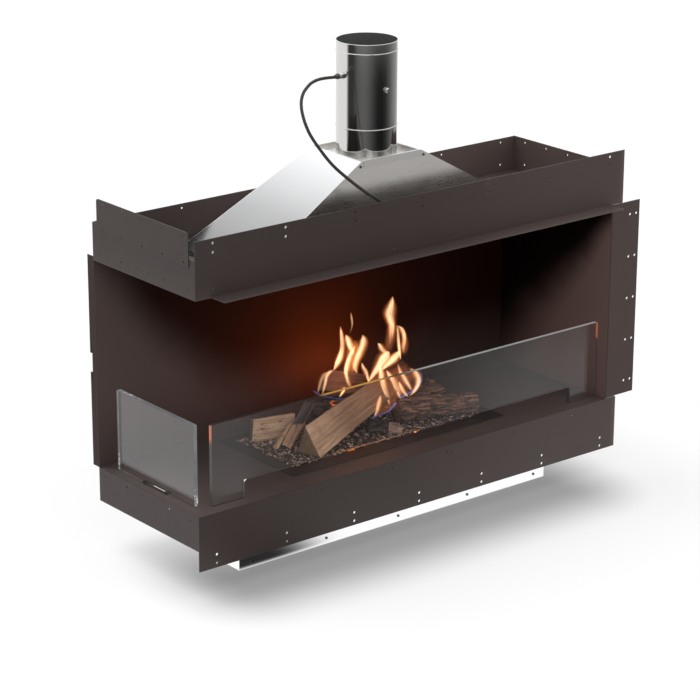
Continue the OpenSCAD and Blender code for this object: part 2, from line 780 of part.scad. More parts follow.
module cover_screw_drills() for (p = cover_screw_places)
  drill_y(p[0], p[1] * (box_d / 2 - box_sheet) - box_sheet, cover_h / 2, screw_r + screw_gap, 2 * box_sheet);

module lower_box_cover() color(steel) difference() {
  block([-box_w / 2, -box_d / 2, 0], [box_w / 2, box_d / 2, cover_h]);
  block(
    [-box_w / 2 + box_sheet, -box_d / 2 + box_sheet, box_sheet],
    [box_w / 2 - box_sheet, box_d / 2 - box_sheet, cover_h + through]
  );
  cover_screw_drills();
}

module cover_screws() color(dark_steel) for (p = cover_screw_places)
  translate([p[0], p[1] * box_d / 2, cover_h / 2]) rotate([p[1] * -90, 0, 0]) union() {
    cylinder(r1 = screw_head_r, r2 = screw_head_r - 0.8, h = screw_head_h, $fn = 24);
    translate([0, 0, -2 * box_sheet]) cylinder(r = screw_r, h = 2 * box_sheet, $fn = 24);
  }

// Glass

front_glass_y0 = front_y + front_glass_y;
front_glass_x0 = left_x + front_glass_x;
front_glass_x1 = wall_x - 1;
foot_xs = [front_glass_x0, front_glass_x1 - glass_foot_w];

module front_glass() color([0.8, 0.85, 0.85, 0.35]) upright_y(front_glass_y0, glass_t) difference() {
  translate([front_glass_x0, floor_z - foot_depth])
    rounded_rect(front_glass_x1 - front_glass_x0, front_glass_h + foot_depth, glass_corner);
  translate([front_glass_x0 + glass_foot_w, floor_z - foot_depth - through])
    rounded_rect(
      front_glass_x1 - front_glass_x0 - 2 * glass_foot_w, glass_gap_h + foot_depth + through, glass_corner
    );
  translate([front_glass_x0 + glass_foot_w, floor_z - foot_depth - through])
    square([front_glass_x1 - front_glass_x0 - 2 * glass_foot_w, glass_gap_h / 2]);
}

module front_glass_rests() color(coat) for (x = foot_xs) difference() {
  block(
    [x, front_glass_y0 - glass_gap - clip_sheet, floor_z - sheet - foot_depth],
    [x + glass_foot_w, front_glass_y0 + glass_t + glass_gap + clip_sheet, floor_z - sheet]
  );
  block(
    [x - through, front_glass_y0 - glass_gap, floor_z - foot_depth],
    [x + glass_foot_w + through, front_glass_y0 + glass_t + glass_gap, floor_z]
  );
}

side_glass_x0 = left_x + side_glass_x;
side_glass_y0 = front_y + side_glass_y;

module side_glass() color([0.8, 0.85, 0.85, 0.35]) upright_x(side_glass_x0, glass_t)
  translate([side_glass_y0, floor_z]) rounded_rect(side_glass_w, side_glass_h, glass_corner);

clip_slot_w = 5;
clip_y0 = side_glass_y0 + side_glass_w / 2 - clip_w / 2;
clip_slots = [side_glass_x0 - glass_gap - clip_slot_w, side_glass_x0 + glass_t + glass_gap];
clip_tabs = [side_glass_x0 - glass_gap - clip_sheet, side_glass_x0 + glass_t + glass_gap];

module side_glass_clip() color(coat) union() {
  block(
    [clip_tabs[0], clip_y0 + glass_gap, floor_z - sheet - clip_sheet],
    [clip_tabs[1] + clip_sheet, clip_y0 + clip_w - glass_gap, floor_z - sheet]
  );
  for (x = clip_tabs, y = [clip_y0 + glass_gap, clip_y0 + clip_w - clip_tab_w - glass_gap])
    translate([x, y, floor_z - sheet - clip_sheet])
      cube([clip_sheet, clip_tab_w, sheet + clip_sheet + clip_tab_h]);
}

// Burner

module burner_tray() color(dark_steel) difference() {
  union() {
    translate([-burner_w / 2, burner_y - burner_d / 2, floor_z]) linear_extrude(pan_sheet)
      rounded_rect(burner_w, burner_d, glass_corner + 4);
    block(
      [-pan_x - pan_sheet, pan_y0 - pan_sheet, floor_z - pan_depth],
      [pan_x + pan_sheet, pan_y1 + pan_sheet, rim_z]
    );
  }
  block([-pan_x, pan_y0, floor_z - pan_depth + pan_sheet], [pan_x, pan_y1, rim_z + through]);
  block(
    [-flame_slot_w / 2, pan_mid_y - flame_slot_d / 2, floor_z - pan_depth - through],
    [flame_slot_w / 2, pan_mid_y + flame_slot_d / 2, floor_z]
  );
}

tank_top = floor_z - pan_depth;

module fuel_tank() color(steel) difference() {
  block(
    [-tank_w / 2, pan_mid_y - tank_d / 2, tank_top - tank_h],
    [tank_w / 2, pan_mid_y + tank_d / 2, tank_top]
  );
  block(
    [-tank_w / 2 + tank_wall, pan_mid_y - tank_d / 2 + tank_wall, tank_top - tank_h + tank_wall],
    [tank_w / 2 - tank_wall, pan_mid_y + tank_d / 2 - tank_wall, tank_top - tank_wall]
  );
  block(
    [-flame_slot_w / 2, pan_mid_y - flame_slot_d / 2, tank_top - 2 * tank_wall],
    [flame_slot_w / 2, pan_mid_y + flame_slot_d / 2, tank_top + through]
  );
}

// Evenly mixed value from 0 to 1 for a grid place and a seed
function mix_value(i, j, seed) =
  let (v = sin(i * 127.1 + j * 311.7 + seed * 74.7) * 43.7) v - floor(v);

// Bed of loose chips: a flat slab with an uneven top
bed_nx = 30;
bed_ny = 12;
bed_gap = 0.5;
bed_low = floor_z - pan_depth + pan_sheet;
function bed_point(i, j) = [
  -pan_x + bed_gap + i * (2 * pan_x - 2 * bed_gap) / bed_nx,
  pan_y0 + bed_gap + j * (pan_y1 - pan_y0 - 2 * bed_gap) / bed_ny,
  bed_top - (i == 0 || i == bed_nx || j == 0 || j == bed_ny ? 8 : 7 * max(0, mix_value(i, j, 3) - 0.45))
];

// The grid places round the bed's edge, in order
bed_edge = concat(
  [for (i = [0:bed_nx - 1]) [i, 0]],
  [for (j = [0:bed_ny - 1]) [bed_nx, j]],
  [for (i = [bed_nx:-1:1]) [i, bed_ny]],
  [for (j = [bed_ny:-1:1]) [0, j]]
);

module chip_bed() color(dark_steel) polyhedron(
  points = concat(
    [for (i = [0:bed_nx], j = [0:bed_ny]) bed_point(i, j)],
    [for (e = bed_edge) let (p = bed_point(e[0], e[1])) [p[0], p[1], bed_low]],
    [[0, pan_mid_y, bed_low]]
  ),
  faces = let (n = bed_ny + 1, under = (bed_nx + 1) * n, m = len(bed_edge)) concat(
    [for (i = [0:bed_nx - 1], j = [0:bed_ny - 1], k = [0:1]) k == 0
      ? [i * n + j, i * n + j + 1, (i + 1) * n + j + 1]
      : [i * n + j, (i + 1) * n + j + 1, (i + 1) * n + j]],
    [for (e = [0:m - 1], k = [0:1])
      let (f = (e + 1) % m, top_e = bed_edge[e] * [n, 1], top_f = bed_edge[f] * [n, 1])
      k == 0 ? [top_e, top_f, under + f] : [top_e, under + f, under + e]],
    [for (e = [0:m - 1]) [under + e, under + (e + 1) % m, under + m]]
  )
);

// Logs
// Their corners are drawn from the middle of a burner 685 wide, and grow with it.

log_unit = burner_w / 685;
log_mid_y = 7;
function log_place(p) = [
  p[0] * log_unit, pan_mid_y + (p[1] - log_mid_y) * log_unit, log_z + p[2] * log_unit
];

// Points along the sides of an end outline, count per side
function along(outline, count) = [
  for (i = [0:len(outline) - 1], k = [0:count - 1])
    let (a = outline[i], b = outline[(i + 1) % len(outline)]) a + (b - a) * k / count
];

function middle(points) = [for (i = [0:2]) [for (p = points) p[i]] * [for (p = points) 1] / len(points)];

// A log is a loft between two end outlines with the same number of corners. Its points are
// drawn in a little towards its middle line, each by its own amount, and never pushed out.
// The points that it rests on stay where they are.
module log_loft(near_end, far_end, per_side, seed, rough = log_rough) {
  a = along([for (p = near_end) log_place(p)], per_side);
  b = along([for (p = far_end) log_place(p)], per_side);
  n = len(a);
  points = [
    for (r = [0:log_rings], k = [0:n - 1])
      let (
        p = a[k] + (b[k] - a[k]) * r / log_rings,
        m = middle(a) + (middle(b) - middle(a)) * r / log_rings,
        inward = p[2] < log_z + 1 ? 0 : rough * mix_value(r, k, seed) / max(norm(m - p), 1)
      ) p + (m - p) * inward
  ];
  last = len(points) - n;
  polyhedron(
    points = concat(points, [
      middle([for (k = [0:n - 1]) points[k]]),
      middle([for (k = [0:n - 1]) points[last + k]])
    ]),
    faces = concat(
      [for (k = [0:n - 1]) [(k + 1) % n, k, len(points)]],
      [for (r = [0:log_rings - 1], k = [0:n - 1], h = [0:1]) let (m = (k + 1) % n) h == 0
        ? [r * n + k, r * n + m, (r + 1) * n + m]
        : [r * n + k, (r + 1) * n + m, (r + 1) * n + k]],
      [for (k = [0:n - 1]) [last + k, last + (k + 1) % n, len(points) + 1]]
    )
  );
}

// An upright round outline about c, facing along the level direction at angle turn
function round_end(c, r, turn, count = 12) = [
  for (i = [0:count - 1]) let (a = i * 360 / count)
    c + r * [cos(a) * -sin(turn), cos(a) * cos(turn), sin(a)]
];

module log_diagonal() color(split_wood) log_loft(
  [[-222, -112, 0], [-234, -64, 76], [-242, -41, 0]],
  [[206, 20, 92], [166, 40, 136], [180, 76, 74]],
  4, 1
);

module log_bark_right() color(bark) log_loft(
  round_end([84, -36, 35], 35, -14.5),
  round_end([312, -97, 26], 26, -14.5),
  1, 2
);

module log_left() color(split_wood) log_loft(
  [[-285, 86, 0], [-272, 96, 54], [-262, 126, 44], [-262, 128, 0]],
  [[-160, 38, 0], [-152, 52, 60], [-138, 84, 48], [-136, 88, 0]],
  3, 3
);

module log_back_left() color(bark) log_loft(
  [[-66, 86, 85.6], [-30, 92, 135.6], [-42, 118, 103.6], [-48, 112, 69.6]],
  [[66, 60, 54.6], [70, 66, 106.6], [84, 100, 84.6], [80, 96, 50.6]],
  3, 4
);

module log_rear_support() color(bark) log_loft(
  round_end([-100, 104, 31], 31, -6),
  round_end([200, 78, 24], 24, -6),
  1, 5
);

module log_centre_low() color(bark) log_loft(
  [[-18, -50, 0], [-10, -40, 30], [8, -10, 30], [14, 2, 0]],
  [[18, -100, 0], [20, -94, 36], [42, -76, 38], [56, -82, 0]],
  3, 6
);

module log_bark_back() color(bark) log_loft(
  [[232, 66, 0], [240, 76, 24], [262, 100, 40], [250, 122, 10], [246, 124, 0]],
  [[338, 56, 0], [330, 66, 18], [302, 92, 42], [318, 116, 12], [326, 118, 0]],
  2, 7
);

module splinter_charred() color(split_wood) log_loft(
  [[-248, 3, 0], [-236, -9, 0], [-222, 1, 4], [-232, 15, 4]],
  [[-136, 52.7, 78], [-122, 44.7, 80], [-108, 58.7, 72], [-120, 66.7, 70]],
  2, 8, 2
);

module stick_leaning() color(split_wood) log_loft(
  [[-272, 12, 0], [-262, 8, 0], [-256, 16, 2], [-266, 22, 2]],
  [[-190, 46, 46], [-182, 42, 48], [-178, 48, 44], [-186, 53, 42]],
  2, 9, 1
);

base_floor();
base_front_panel();
base_side_panel();
base_right_panel();
base_back_panel();
firebox_back_wall();
firebox_right_wall();
top_tray_floor();
top_front_panel();
top_side_panel();
top_right_panel();
top_back_panel();
side_trim_plate();
hood_front_sheet();
hood_back_sheet();
hood_left_sheet();
hood_right_sheet();
hood_collar_plate();
collar_rivets();
hood_fixing_screws();
flue_spigot();
flue_pipe();
sensor_fitting();
sensor_probe();
test_port_plug();
sensor_lead();
lead_gland();
lower_box();
lower_box_cover();
cover_screws();
front_glass();
side_glass();
side_glass_clip();
front_glass_rests();
burner_tray();
fuel_tank();
chip_bed();
log_diagonal();
log_bark_right();
log_left();
log_back_left();
log_rear_support();
log_centre_low();
log_bark_back();
splinter_charred();
stick_leaning();
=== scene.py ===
import math

import bpy
import numpy as np
from mathutils import Matrix, Vector, noise


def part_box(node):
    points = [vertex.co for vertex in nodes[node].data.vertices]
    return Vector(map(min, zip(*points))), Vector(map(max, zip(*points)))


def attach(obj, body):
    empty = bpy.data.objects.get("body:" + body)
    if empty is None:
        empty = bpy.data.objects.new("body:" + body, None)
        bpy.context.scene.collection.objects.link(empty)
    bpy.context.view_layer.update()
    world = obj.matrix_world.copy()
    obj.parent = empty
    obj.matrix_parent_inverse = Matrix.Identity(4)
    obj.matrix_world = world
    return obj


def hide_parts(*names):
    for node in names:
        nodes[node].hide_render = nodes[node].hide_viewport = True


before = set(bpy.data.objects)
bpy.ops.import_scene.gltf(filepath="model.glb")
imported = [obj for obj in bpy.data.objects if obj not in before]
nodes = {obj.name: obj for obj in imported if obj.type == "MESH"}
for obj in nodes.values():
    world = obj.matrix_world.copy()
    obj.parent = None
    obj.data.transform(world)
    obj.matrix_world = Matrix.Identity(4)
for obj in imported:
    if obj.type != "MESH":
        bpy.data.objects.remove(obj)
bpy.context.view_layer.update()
MM = 0.001


def placed(name, data):
    """A new object in the scene."""
    made = bpy.data.objects.new(name, data)
    bpy.context.scene.collection.objects.link(made)
    return made


# ---- Camera ----
AZIMUTH, ELEVATION, ROLL = (math.radians(v) for v in (-39.0125, 18.7859, 0.2254))
CAMERA_PLACE = (-3.9462, -4.8249, 2.5370)
FOCAL_LENGTH, SENSOR_WIDTH, CLIP_END = 134.45, 36, 60


def make_camera():
    level = math.cos(ELEVATION)
    back = Vector((math.sin(AZIMUTH) * level, -math.cos(AZIMUTH) * level, math.sin(ELEVATION)))
    right = Vector((math.cos(AZIMUTH), math.sin(AZIMUTH), 0))
    up = back.cross(right)
    turned_right = right * math.cos(ROLL) + up * math.sin(ROLL)
    turned_up = up * math.cos(ROLL) - right * math.sin(ROLL)
    data = bpy.data.cameras.new("camera")
    data.lens = FOCAL_LENGTH
    data.sensor_width = SENSOR_WIDTH
    data.clip_end = CLIP_END
    camera = placed("camera", data)
    place = Matrix((turned_right, turned_up, back)).transposed().to_4x4()
    place.translation = CAMERA_PLACE
    camera.matrix_world = place
    bpy.context.scene.camera = camera


make_camera()


# ---- Meshes ----
def add_object(name, verts, faces, body, paints, smooth=True, looks=None, **attributes):
    """A mesh piece that rides on a body. looks gives each face's place in paints, and each of
    attributes holds a number or a vector for each point."""
    mesh = bpy.data.meshes.new(name)
    mesh.from_pydata([tuple(v) for v in verts], [], [tuple(f) for f in faces])
    mesh.update()
    for paint in paints:
        mesh.materials.append(paint.mat)
    if looks is not None:
        mesh.polygons.foreach_set("material_index", looks)
    if smooth:
        mesh.polygons.foreach_set("use_smooth", [True] * len(mesh.polygons))
    for key, values in attributes.items():
        values = np.asarray(values, np.float32)
        kind, field = ("FLOAT", "value") if values.ndim == 1 else ("FLOAT_VECTOR", "vector")
        mesh.attributes.new(key, kind, "POINT").data.foreach_set(field, values.ravel())
    piece = placed(name, mesh)
    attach(piece, body)
    return piece


def waves(*place):
    return noise.noise(Vector(place))


def spline(points, steps):
    """A smooth curve through points, with that many steps between neighbours."""
    rows = [np.array(p, float) for p in points]
    out = []
    for i in range(len(rows) - 1):
        a, b = rows[max(i - 1, 0)], rows[i]
        c, d = rows[i + 1], rows[min(i + 2, len(rows) - 1)]
        for k in range(steps):
            t = k / steps
            bend = (2 * a - 5 * b + 4 * c - d) * t * t + (3 * b - a - 3 * c + d) * t**3
            out.append(0.5 * (2 * b + (c - a) * t + bend))
    out.append(rows[-1])
    return np.array(out)


def headings(line):
    """The directions of unit length along a row of points."""
    heading = np.gradient(line, axis=0)
    return heading / np.linalg.norm(heading, axis=1)[:, None]


def tube_faces(rings, sides, first=0):
    """The faces of a closed tube, whose rings of points are numbered from first."""
    last = first + (rings - 1) * sides
    faces = []
    for a in range(first, last, sides):
        for k in range(sides):
            m = (k + 1) % sides
            faces.append((a + k, a + m, a + m + sides, a + k + sides))
    faces.append(tuple(range(first + sides - 1, first - 1, -1)))
    faces.append(tuple(range(last, last + sides)))
    return faces


# ---- Shader graphs ----
BLACK, WHITE = (0.0, 0.0, 0.0), (1.0, 1.0, 1.0)


def toned(colour, share):
    return tuple(share * c for c in colour)


def operation(name, swapped=False):
    def run(self, other=0.0):
        a, b = (other, self) if swapped else (self, other)
        return self.graph.math(name, a, b)

    return run


class Value:
    """What a shader node gives out. It is reckoned with and compared like a number."""

    def __init__(self, graph, socket):
        self.graph, self.socket = graph, socket

    __add__ = __radd__ = operation("ADD")
    __mul__ = __rmul__ = operation("MULTIPLY")
    __sub__, __rsub__ = operation("SUBTRACT"), operation("SUBTRACT", swapped=True)
    __truediv__, __rtruediv__ = operation("DIVIDE"), operation("DIVIDE", swapped=True)
    __lt__, __gt__ = operation("LESS_THAN"), operation("GREATER_THAN")
    __abs__ = operation("ABSOLUTE")


class Graph:
    """A tree of shader nodes. coords, x, y and z are the place on the surface, and light is
    the kind of node that gives off light."""

    def __init__(self, tree, kind, out, light=None):
        self.tree, self.light = tree, light
        self.coords = self.add(kind, out=out)
        self.x, self.y, self.z = (self.axis(name, self.coords) for name in "XYZ")

    def feed(self, socket, value):
        if isinstance(value, Value):
            self.tree.links.new(value.socket, socket)
        elif socket.type == "RGBA" and len(value) == 3:
            socket.default_value = (*value, 1)
        else:
            socket.default_value = value

    def add(self, kind, inputs=(), out=0, **props):
        node = self.tree.nodes.new(kind)
        for key, value in props.items():
            setattr(node, key, value)
        for key, value in dict(inputs).items():
            self.feed(node.inputs[key], value)
        return Value(self, node.outputs[out])

    def end(self, kind, shader):
        self.feed(self.tree.nodes.new(kind).inputs["Surface"], shader)

    def math(self, operation, a, b=0.0, clamp=False):
        return self.add("ShaderNodeMath", {0: a, 1: b}, operation=operation, use_clamp=clamp)

    def vector(self, operation, a, b, out="Vector"):
        return self.add("ShaderNodeVectorMath", {0: a, 1: b}, out=out, operation=operation)

    def times(self, colour, share):
        return self.add("ShaderNodeVectorMath", {0: colour, 3: share}, operation="SCALE")

    def axis(self, name, source):
        return self.add("ShaderNodeSeparateXYZ", {0: source}, out=name)

    def between(self, value, low, high, to_low=0.0, to_high=1.0):
        """A soft step from to_low, where value is low, to to_high."""
        inputs = {"Value": value, 1: low, 2: high, 3: to_low, 4: to_high}
        return self.add("ShaderNodeMapRange", inputs, interpolation_type="SMOOTHSTEP")

    def ramp(self, share, stops, tint=WHITE):
        """Colours along share. A stop that is one number is that much of tint."""
        node = self.tree.nodes.new("ShaderNodeValToRGB")
        self.feed(node.inputs["Fac"], share)
        elements = node.color_ramp.elements
        while len(elements) < len(stops):
            elements.new(0.5)
        for element, (place, colour) in zip(elements, stops):
            element.position = place
            if not hasattr(colour, "__len__"):
                colour = toned(tint, colour)
            element.color = (*colour, 1)
        return Value(self, node.outputs["Color"])

    def emit(self, strength, colour=WHITE):
        return self.add(self.light, {"Color": colour, "Strength": strength})

    def blend(self, share, a, b):
        """Shader a where share is 0, and b where it is 1."""
        return self.add("ShaderNodeMixShader", {0: share, 1: a, 2: b})

    def ray(self, kind):
        return self.add("ShaderNodeLightPath", out="Is %s Ray" % kind)

    def seen(self):
        """1 where the camera looks, straight or through the panes."""
        return self.math("MAXIMUM", self.ray("Camera"), self.ray("Transmission"))

    def studio(self):
        """What metal sees round it: a white wall at the left and behind, a dark room in
        front, and a warm grey wall at the right."""
        turn = self.math("ARCTAN2", self.y, self.x) / (2 * math.pi) + 0.5
        return self.ramp(turn, [(angle / 360, tone) for angle, tone in STUDIO_TONES], STUDIO_TINT)


# Degrees from -X, anticlockwise, and how bright the studio is there
STUDIO_TONES = [
    (0, 0.053), (15, 0.106), (32, 0.137), (48, 0.133), (63, 0.092), (78, 0.045),
    (92, 0.016), (109, 0.011), (127, 0.032), (147, 0.115), (166, 0.25), (182, 0.33),
    (205, 0.55), (222, 1.0), (331, 1.0), (336, 0.3), (341, 0.045),
]
STUDIO_TINT = (1.0, 0.985, 0.97)


class Paint(Graph):
    """A Principled material, whose textures use object coordinates."""

    def __init__(self, name, **settings):
        self.mat = bpy.data.materials.new(name)
        self.mat.use_nodes = True
        super().__init__(self.mat.node_tree, "ShaderNodeTexCoord", "Object")
        self.bsdf = self.tree.nodes["Principled BSDF"]
        for key, value in settings.items():
            self.set(key.replace("_", " "), value)

    def set(self, socket, value):
        self.feed(self.bsdf.inputs[socket], value)

    def tint(self, colour):
        self.set("Base Color", colour)

    def colour(self):
        """The base colour so far."""
        return Value(self, self.bsdf.inputs["Base Color"].links[0].from_socket)

    def brighten(self, share):
        self.tint(self.times(self.colour(), share))

    def facing(self, axis):
        """How far a face looks along an axis: 1 straight along it, and -1 against it."""
        return self.axis(axis, self.add("ShaderNodeTexCoord", out="Normal"))

    def noise(self, scale, detail=3.0, rough=0.5, stretch=None, source=None):
        place = source or self.coords
        if stretch:
            place = self.add("ShaderNodeMapping", {"Vector": place, "Scale": stretch})
        inputs = {"Vector": place, "Scale": scale, "Detail": detail, "Roughness": rough}
        return self.add("ShaderNodeTexNoise", inputs, out="Fac")

    def even(self, noise, low, high):
        """Noise spread over the range from low to high."""
        return self.between(noise, 0.3, 0.7, low, high)

    def mix(self, share, a, b, blend="MIX"):
        inputs = {0: share, 6: a, 7: b}
        return self.add("ShaderNodeMix", inputs, out=2, data_type="RGBA", blend_type=blend)

    def attribute(self, name, out="Fac"):
        return self.add("ShaderNodeAttribute", out=out, attribute_name=name)

    def bump(self, height, distance, strength=0.5):
        inputs = {"Height": height, "Distance": distance, "Strength": strength}
        self.set("Normal", self.add("ShaderNodeBump", inputs))


# ---- Materials ----
def coat(name, low, high, rough=0.45):
    """Heat-proof powder coat: a fine orange-peel skin and slow changes of tone."""
    p = Paint(name, Specular_IOR_Level=0.3)
    fine = p.noise(650, 2, 0.6)
    tone = p.noise(7, 4, 0.6) * 0.7 + fine * 0.3
    p.tint(p.ramp(tone, [(0.3, low), (0.7, high)]))
    p.set("Roughness", p.even(p.noise(40, 3), rough - 0.02, rough + 0.02))
    p.bump(fine, 0.04 * MM)
    return p


def outer_coat():
    """The casing's coat, with painted light that makes it brighter towards its right end, on the
    right flange and low on the top front panel.
    """
    p = coat("casing_coat", (0.046, 0.0335, 0.0312), (0.049, 0.0360, 0.0336))
    high_right = p.between(p.x, -0.15, 0.60, 0.0, 0.6) * p.between(p.z, 0.21, 0.30)
    low_right = p.between(p.x, -0.2, 0.5, 0.0, 0.5) * p.between(p.z, 0.30, 0.21)
    flange = p.between(p.x, 0.655, 0.68, 0.0, 0.75)
    lip = p.between(p.z, 0.60, 0.64, 0.0, 0.3) * p.between(p.z, 0.665, 0.80, 1.0, 0.0)
    p.brighten(high_right + flange + low_right + lip + 1.0)
    return p


def painted_lit_below(p, line, depth):
    """How far the coat is painted lit rather than in painted shade under a line at that height in
    each place: not at all at the line, and wholly at depth below it."""
    uneven = p.even(p.noise(5, 4, 0.6), -0.012, 0.012)
    return p.between(line - p.z + uneven, 0.0, depth)


# The coat on the outer sides of the walls, without the painted shade, light and glow of their
# insides
PLAIN_COAT = (0.048, 0.035, 0.0325)
# The fire's glow, painted on the back wall as emission: its middle, how bright it is, and how far
# it reaches
GLOW_X, GLOW_Z, GLOW, GLOW_REACH = 0.02, 0.34, 0.09, 0.12


def back_wall_coat():
    """Inside, painted shade and light: black above, where the tray shades it, and brown below and
    at the open left end, where daylight reaches it; and a painted glow from the fire. Its outer
    side is plain."""
    p = Paint("back_wall_coat", Roughness=0.6, Specular_IOR_Level=0.1)
    inner = p.facing("Y") < -0.5
    left = p.math("MAXIMUM", p.x * -1.0 - 0.1, 0.0)
    painted_lit = painted_lit_below(p, left * left * 1.4 + 0.42, 0.23)
    painted_lit = painted_lit * p.between(p.x, -0.5, 0.3, 1.0, 0.8) * p.between(p.z, 0.22, 0.42, 0.8, 1.0)
    # Painted shade: black where the wall is shaded, brown where daylight reaches it
    painted_shade_inside = p.mix(painted_lit, (0.0015, 0.001, 0.001), (0.073, 0.054, 0.0505))
    p.tint(p.mix(inner, PLAIN_COAT, painted_shade_inside))
    across, high = p.x - GLOW_X, p.z - GLOW_Z
    # It reaches further to the left of the fire than to the right
    across = across * p.between(across, -0.03, 0.03, 0.82, 1.25)
    glow = GLOW / ((across * across + high * high) / (GLOW_REACH * GLOW_REACH) + 1.0)
    glow = glow * inner * p.between(p.z, 0.22, 0.34, 0.5, 1.0)
    # Painted light: the wall itself glows where the fire would light it
    p.set("Emission Color", (1.0, 0.115, 0.003))
    p.set("Emission Strength", glow * p.even(p.noise(6, 3), 0.94, 1.06))
    return p


# Where the right wall turns into its flange
FLANGE_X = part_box("firebox_right_wall")[0][0] + 4 * MM


def right_wall_coat():
    """Inside, painted light and shade: brown in front, where daylight reaches it, and black towards
    the back and the top. The flange is painted lighter, for the light that falls on it. Its outer
    side is plain."""
    p = Paint("right_wall_coat", Roughness=0.6, Specular_IOR_Level=0.1)
    painted_lit = painted_lit_below(p, 0.541 - p.y * 0.795, p.y * 0.7 + 0.24)
    inside = p.mix(painted_lit, (0.004, 0.0015, 0.001), (0.167, 0.109, 0.098))
    wall = p.mix(p.facing("X") < -0.5, PLAIN_COAT, inside)
    # Painted light: the flange is lighter than the plain coat, for the light that falls on it
    p.tint(p.mix(p.x > FLANGE_X, wall, (0.078, 0.059, 0.055)))
    return p


def steel(name, tint, rough, depth, direction, painted_shade=None):
    """Stainless sheet with fine lines along its rolling direction and faint clouds. The last
    argument, if given, paints shade: it gives how much of the sheet's brightness is left."""
    p = Paint(name, Metallic=1.0, Anisotropic=0.3)
    lines = p.noise(90, 3, 0.7, stretch=direction)
    clouds = p.noise(6, 4, 0.6)
    sheet = p.mix(clouds, toned(tint, 0.96), tint)
    p.tint(p.times(sheet, painted_shade(p)) if painted_shade else sheet)
    p.set("Roughness", p.even(lines * 0.6 + clouds * 0.4, rough * 0.8, rough * 1.25))
    p.bump(lines, depth)
    return p


def hood_painted_shade(p):
    """Painted shade: dark at the low left end of the hood, and at full brightness at its neck."""
    along = p.add("ShaderNodeMapRange", {"Value": p.x, 1: -0.46, 2: -0.10})
    stops = [(0.0, 0.21), (0.05, 0.31), (0.15, 0.35), (0.45, 0.51), (0.75, 0.78), (1.0, 1.0)]
    return p.ramp(along, stops)


def pipe_steel():
    """Drawn stainless tube, dull with use inside."""
    p = steel("pipe_steel", (0.70, 0.70, 0.69), 0.085, 0.01 * MM, (6, 6, 0.25))
    middle = [(a + b) / 2 for a, b in zip(*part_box("flue_pipe"))]
    outwards = (p.x - middle[0]) * p.facing("X") + (p.y - middle[1]) * p.facing("Y")
    inside = outwards < 0.0
    p.set("Metallic", 1.0 - inside * 0.85)
    p.tint(p.mix(inside, p.colour(), (0.13, 0.135, 0.132)))
    return p


def collar_steel():
    """Sheet whose flat top scatters light, as brushed steel does, while its hook stays smooth."""
    p = steel("collar_steel", (0.96, 0.96, 0.955), 0.3, 0.006 * MM, (6, 6, 6))
    flat = p.facing("Z") > 0.9
    p.set("Metallic", 1.0 - flat * 0.55)
    p.tint(p.mix(flat, (0.80, 0.775, 0.75), p.colour()))
    return p


def darkened(name, tint, rough):
    """Metal with small mottled patches."""
    p = Paint(name, Metallic=1.0)
    mottle = p.noise(260, 3, 0.6)
    p.tint(p.ramp(mottle, [(0.3, toned(tint, 0.8)), (0.7, tint)]))
    p.set("Roughness", p.even(mottle, rough - 0.06, rough + 0.06))
    p.bump(mottle, 0.04 * MM)
    return p


def fitting_steel():
    """Dark steel, bright where it meets the pipe."""
    p = darkened("fitting_steel", DARK_STEEL, 0.4)
    bright = p.x > -0.088
    p.tint(p.mix(bright, p.colour(), (0.8, 0.8, 0.8)))
    p.set("Roughness", 0.4 - bright * 0.28)
    return p


def glass(name, flat_axis, edge_tone, painted_glints):
    """Clear plate glass with ground edges. flat_axis is the way its faces look, edge_tone(paint)
    gives the colour of the edges, and the last argument the painted light in them."""
    p = Paint(name, IOR=1.45, Emission_Strength=1.0)
    smear = p.noise(14, 4, 0.6)
    clear = p.ramp(smear, [(0.3, (0.955, 0.97, 0.965)), (0.7, (0.98, 0.99, 0.985))])
    edge = abs(p.facing(flat_axis)) < 0.5
    p.tint(p.mix(edge, clear, edge_tone(p)))
    p.set("Transmission Weight", 1.0 - edge * 0.85)
    p.set("Roughness", edge * 0.3)
    p.set("Emission Color", p.mix(edge, BLACK, painted_glints(p)))
    return p


# A height between the front pane's low ends and its raised middle, and the inner corner of the
# notch at its left end, where a glint is painted
PANE_RAISED = 0.40
NOTCH = (-0.517, -0.195, 0.258)


def upright_edge(p):
    """1 on the edges at the pane's two ends, and 0 on its top and bottom edges."""
    return abs(p.facing("Z")) < 0.5


def painted_daylight_on_top(p):
    """Where daylight is painted on the front pane's edges: 1 along the right of its top edge."""
    return p.between(p.x, -0.06, 0.05) * (p.z > PANE_RAISED)


def front_edge_painted_light(p):
    """Painted light: dark over the left of the fire and pale over the right, where daylight is
    painted.
    """
    level = p.mix(painted_daylight_on_top(p), (0.05, 0.04, 0.037), (0.55, 0.56, 0.55))
    return p.mix(upright_edge(p), level, (0.09, 0.085, 0.08))


def front_painted_glints(p):
    """Painted light: the fire is painted as a gold line in the top edge and red near the upper
    corners, and daylight along the right of the top edge and as a glint in the notch at the left."""
    gold = p.between(p.x, -0.29, -0.265) * p.between(p.x, -0.12, -0.04, 1.0, 0.0)
    level = p.mix(gold * (p.z > PANE_RAISED), (0.012, 0.008, 0.006), (0.40, 0.22, 0.045))
    level = p.mix(painted_daylight_on_top(p), level, (0.13, 0.13, 0.125))
    red = p.mix(p.between(p.z, 0.36, 0.38), BLACK, (0.42, 0.09, 0.025))
    lit = p.mix(upright_edge(p), level, red)
    away = p.vector("DISTANCE", p.coords, NOTCH, "Value")
    return p.mix(p.between(away, 0.007, 0.012, 1.0, 0.0), lit, (0.9, 0.9, 0.88))


def side_edge(p):
    return p.ramp(p.noise(30, 3, 0.6), [(0.3, (0.10, 0.11, 0.11)), (0.7, (0.19, 0.205, 0.205))])


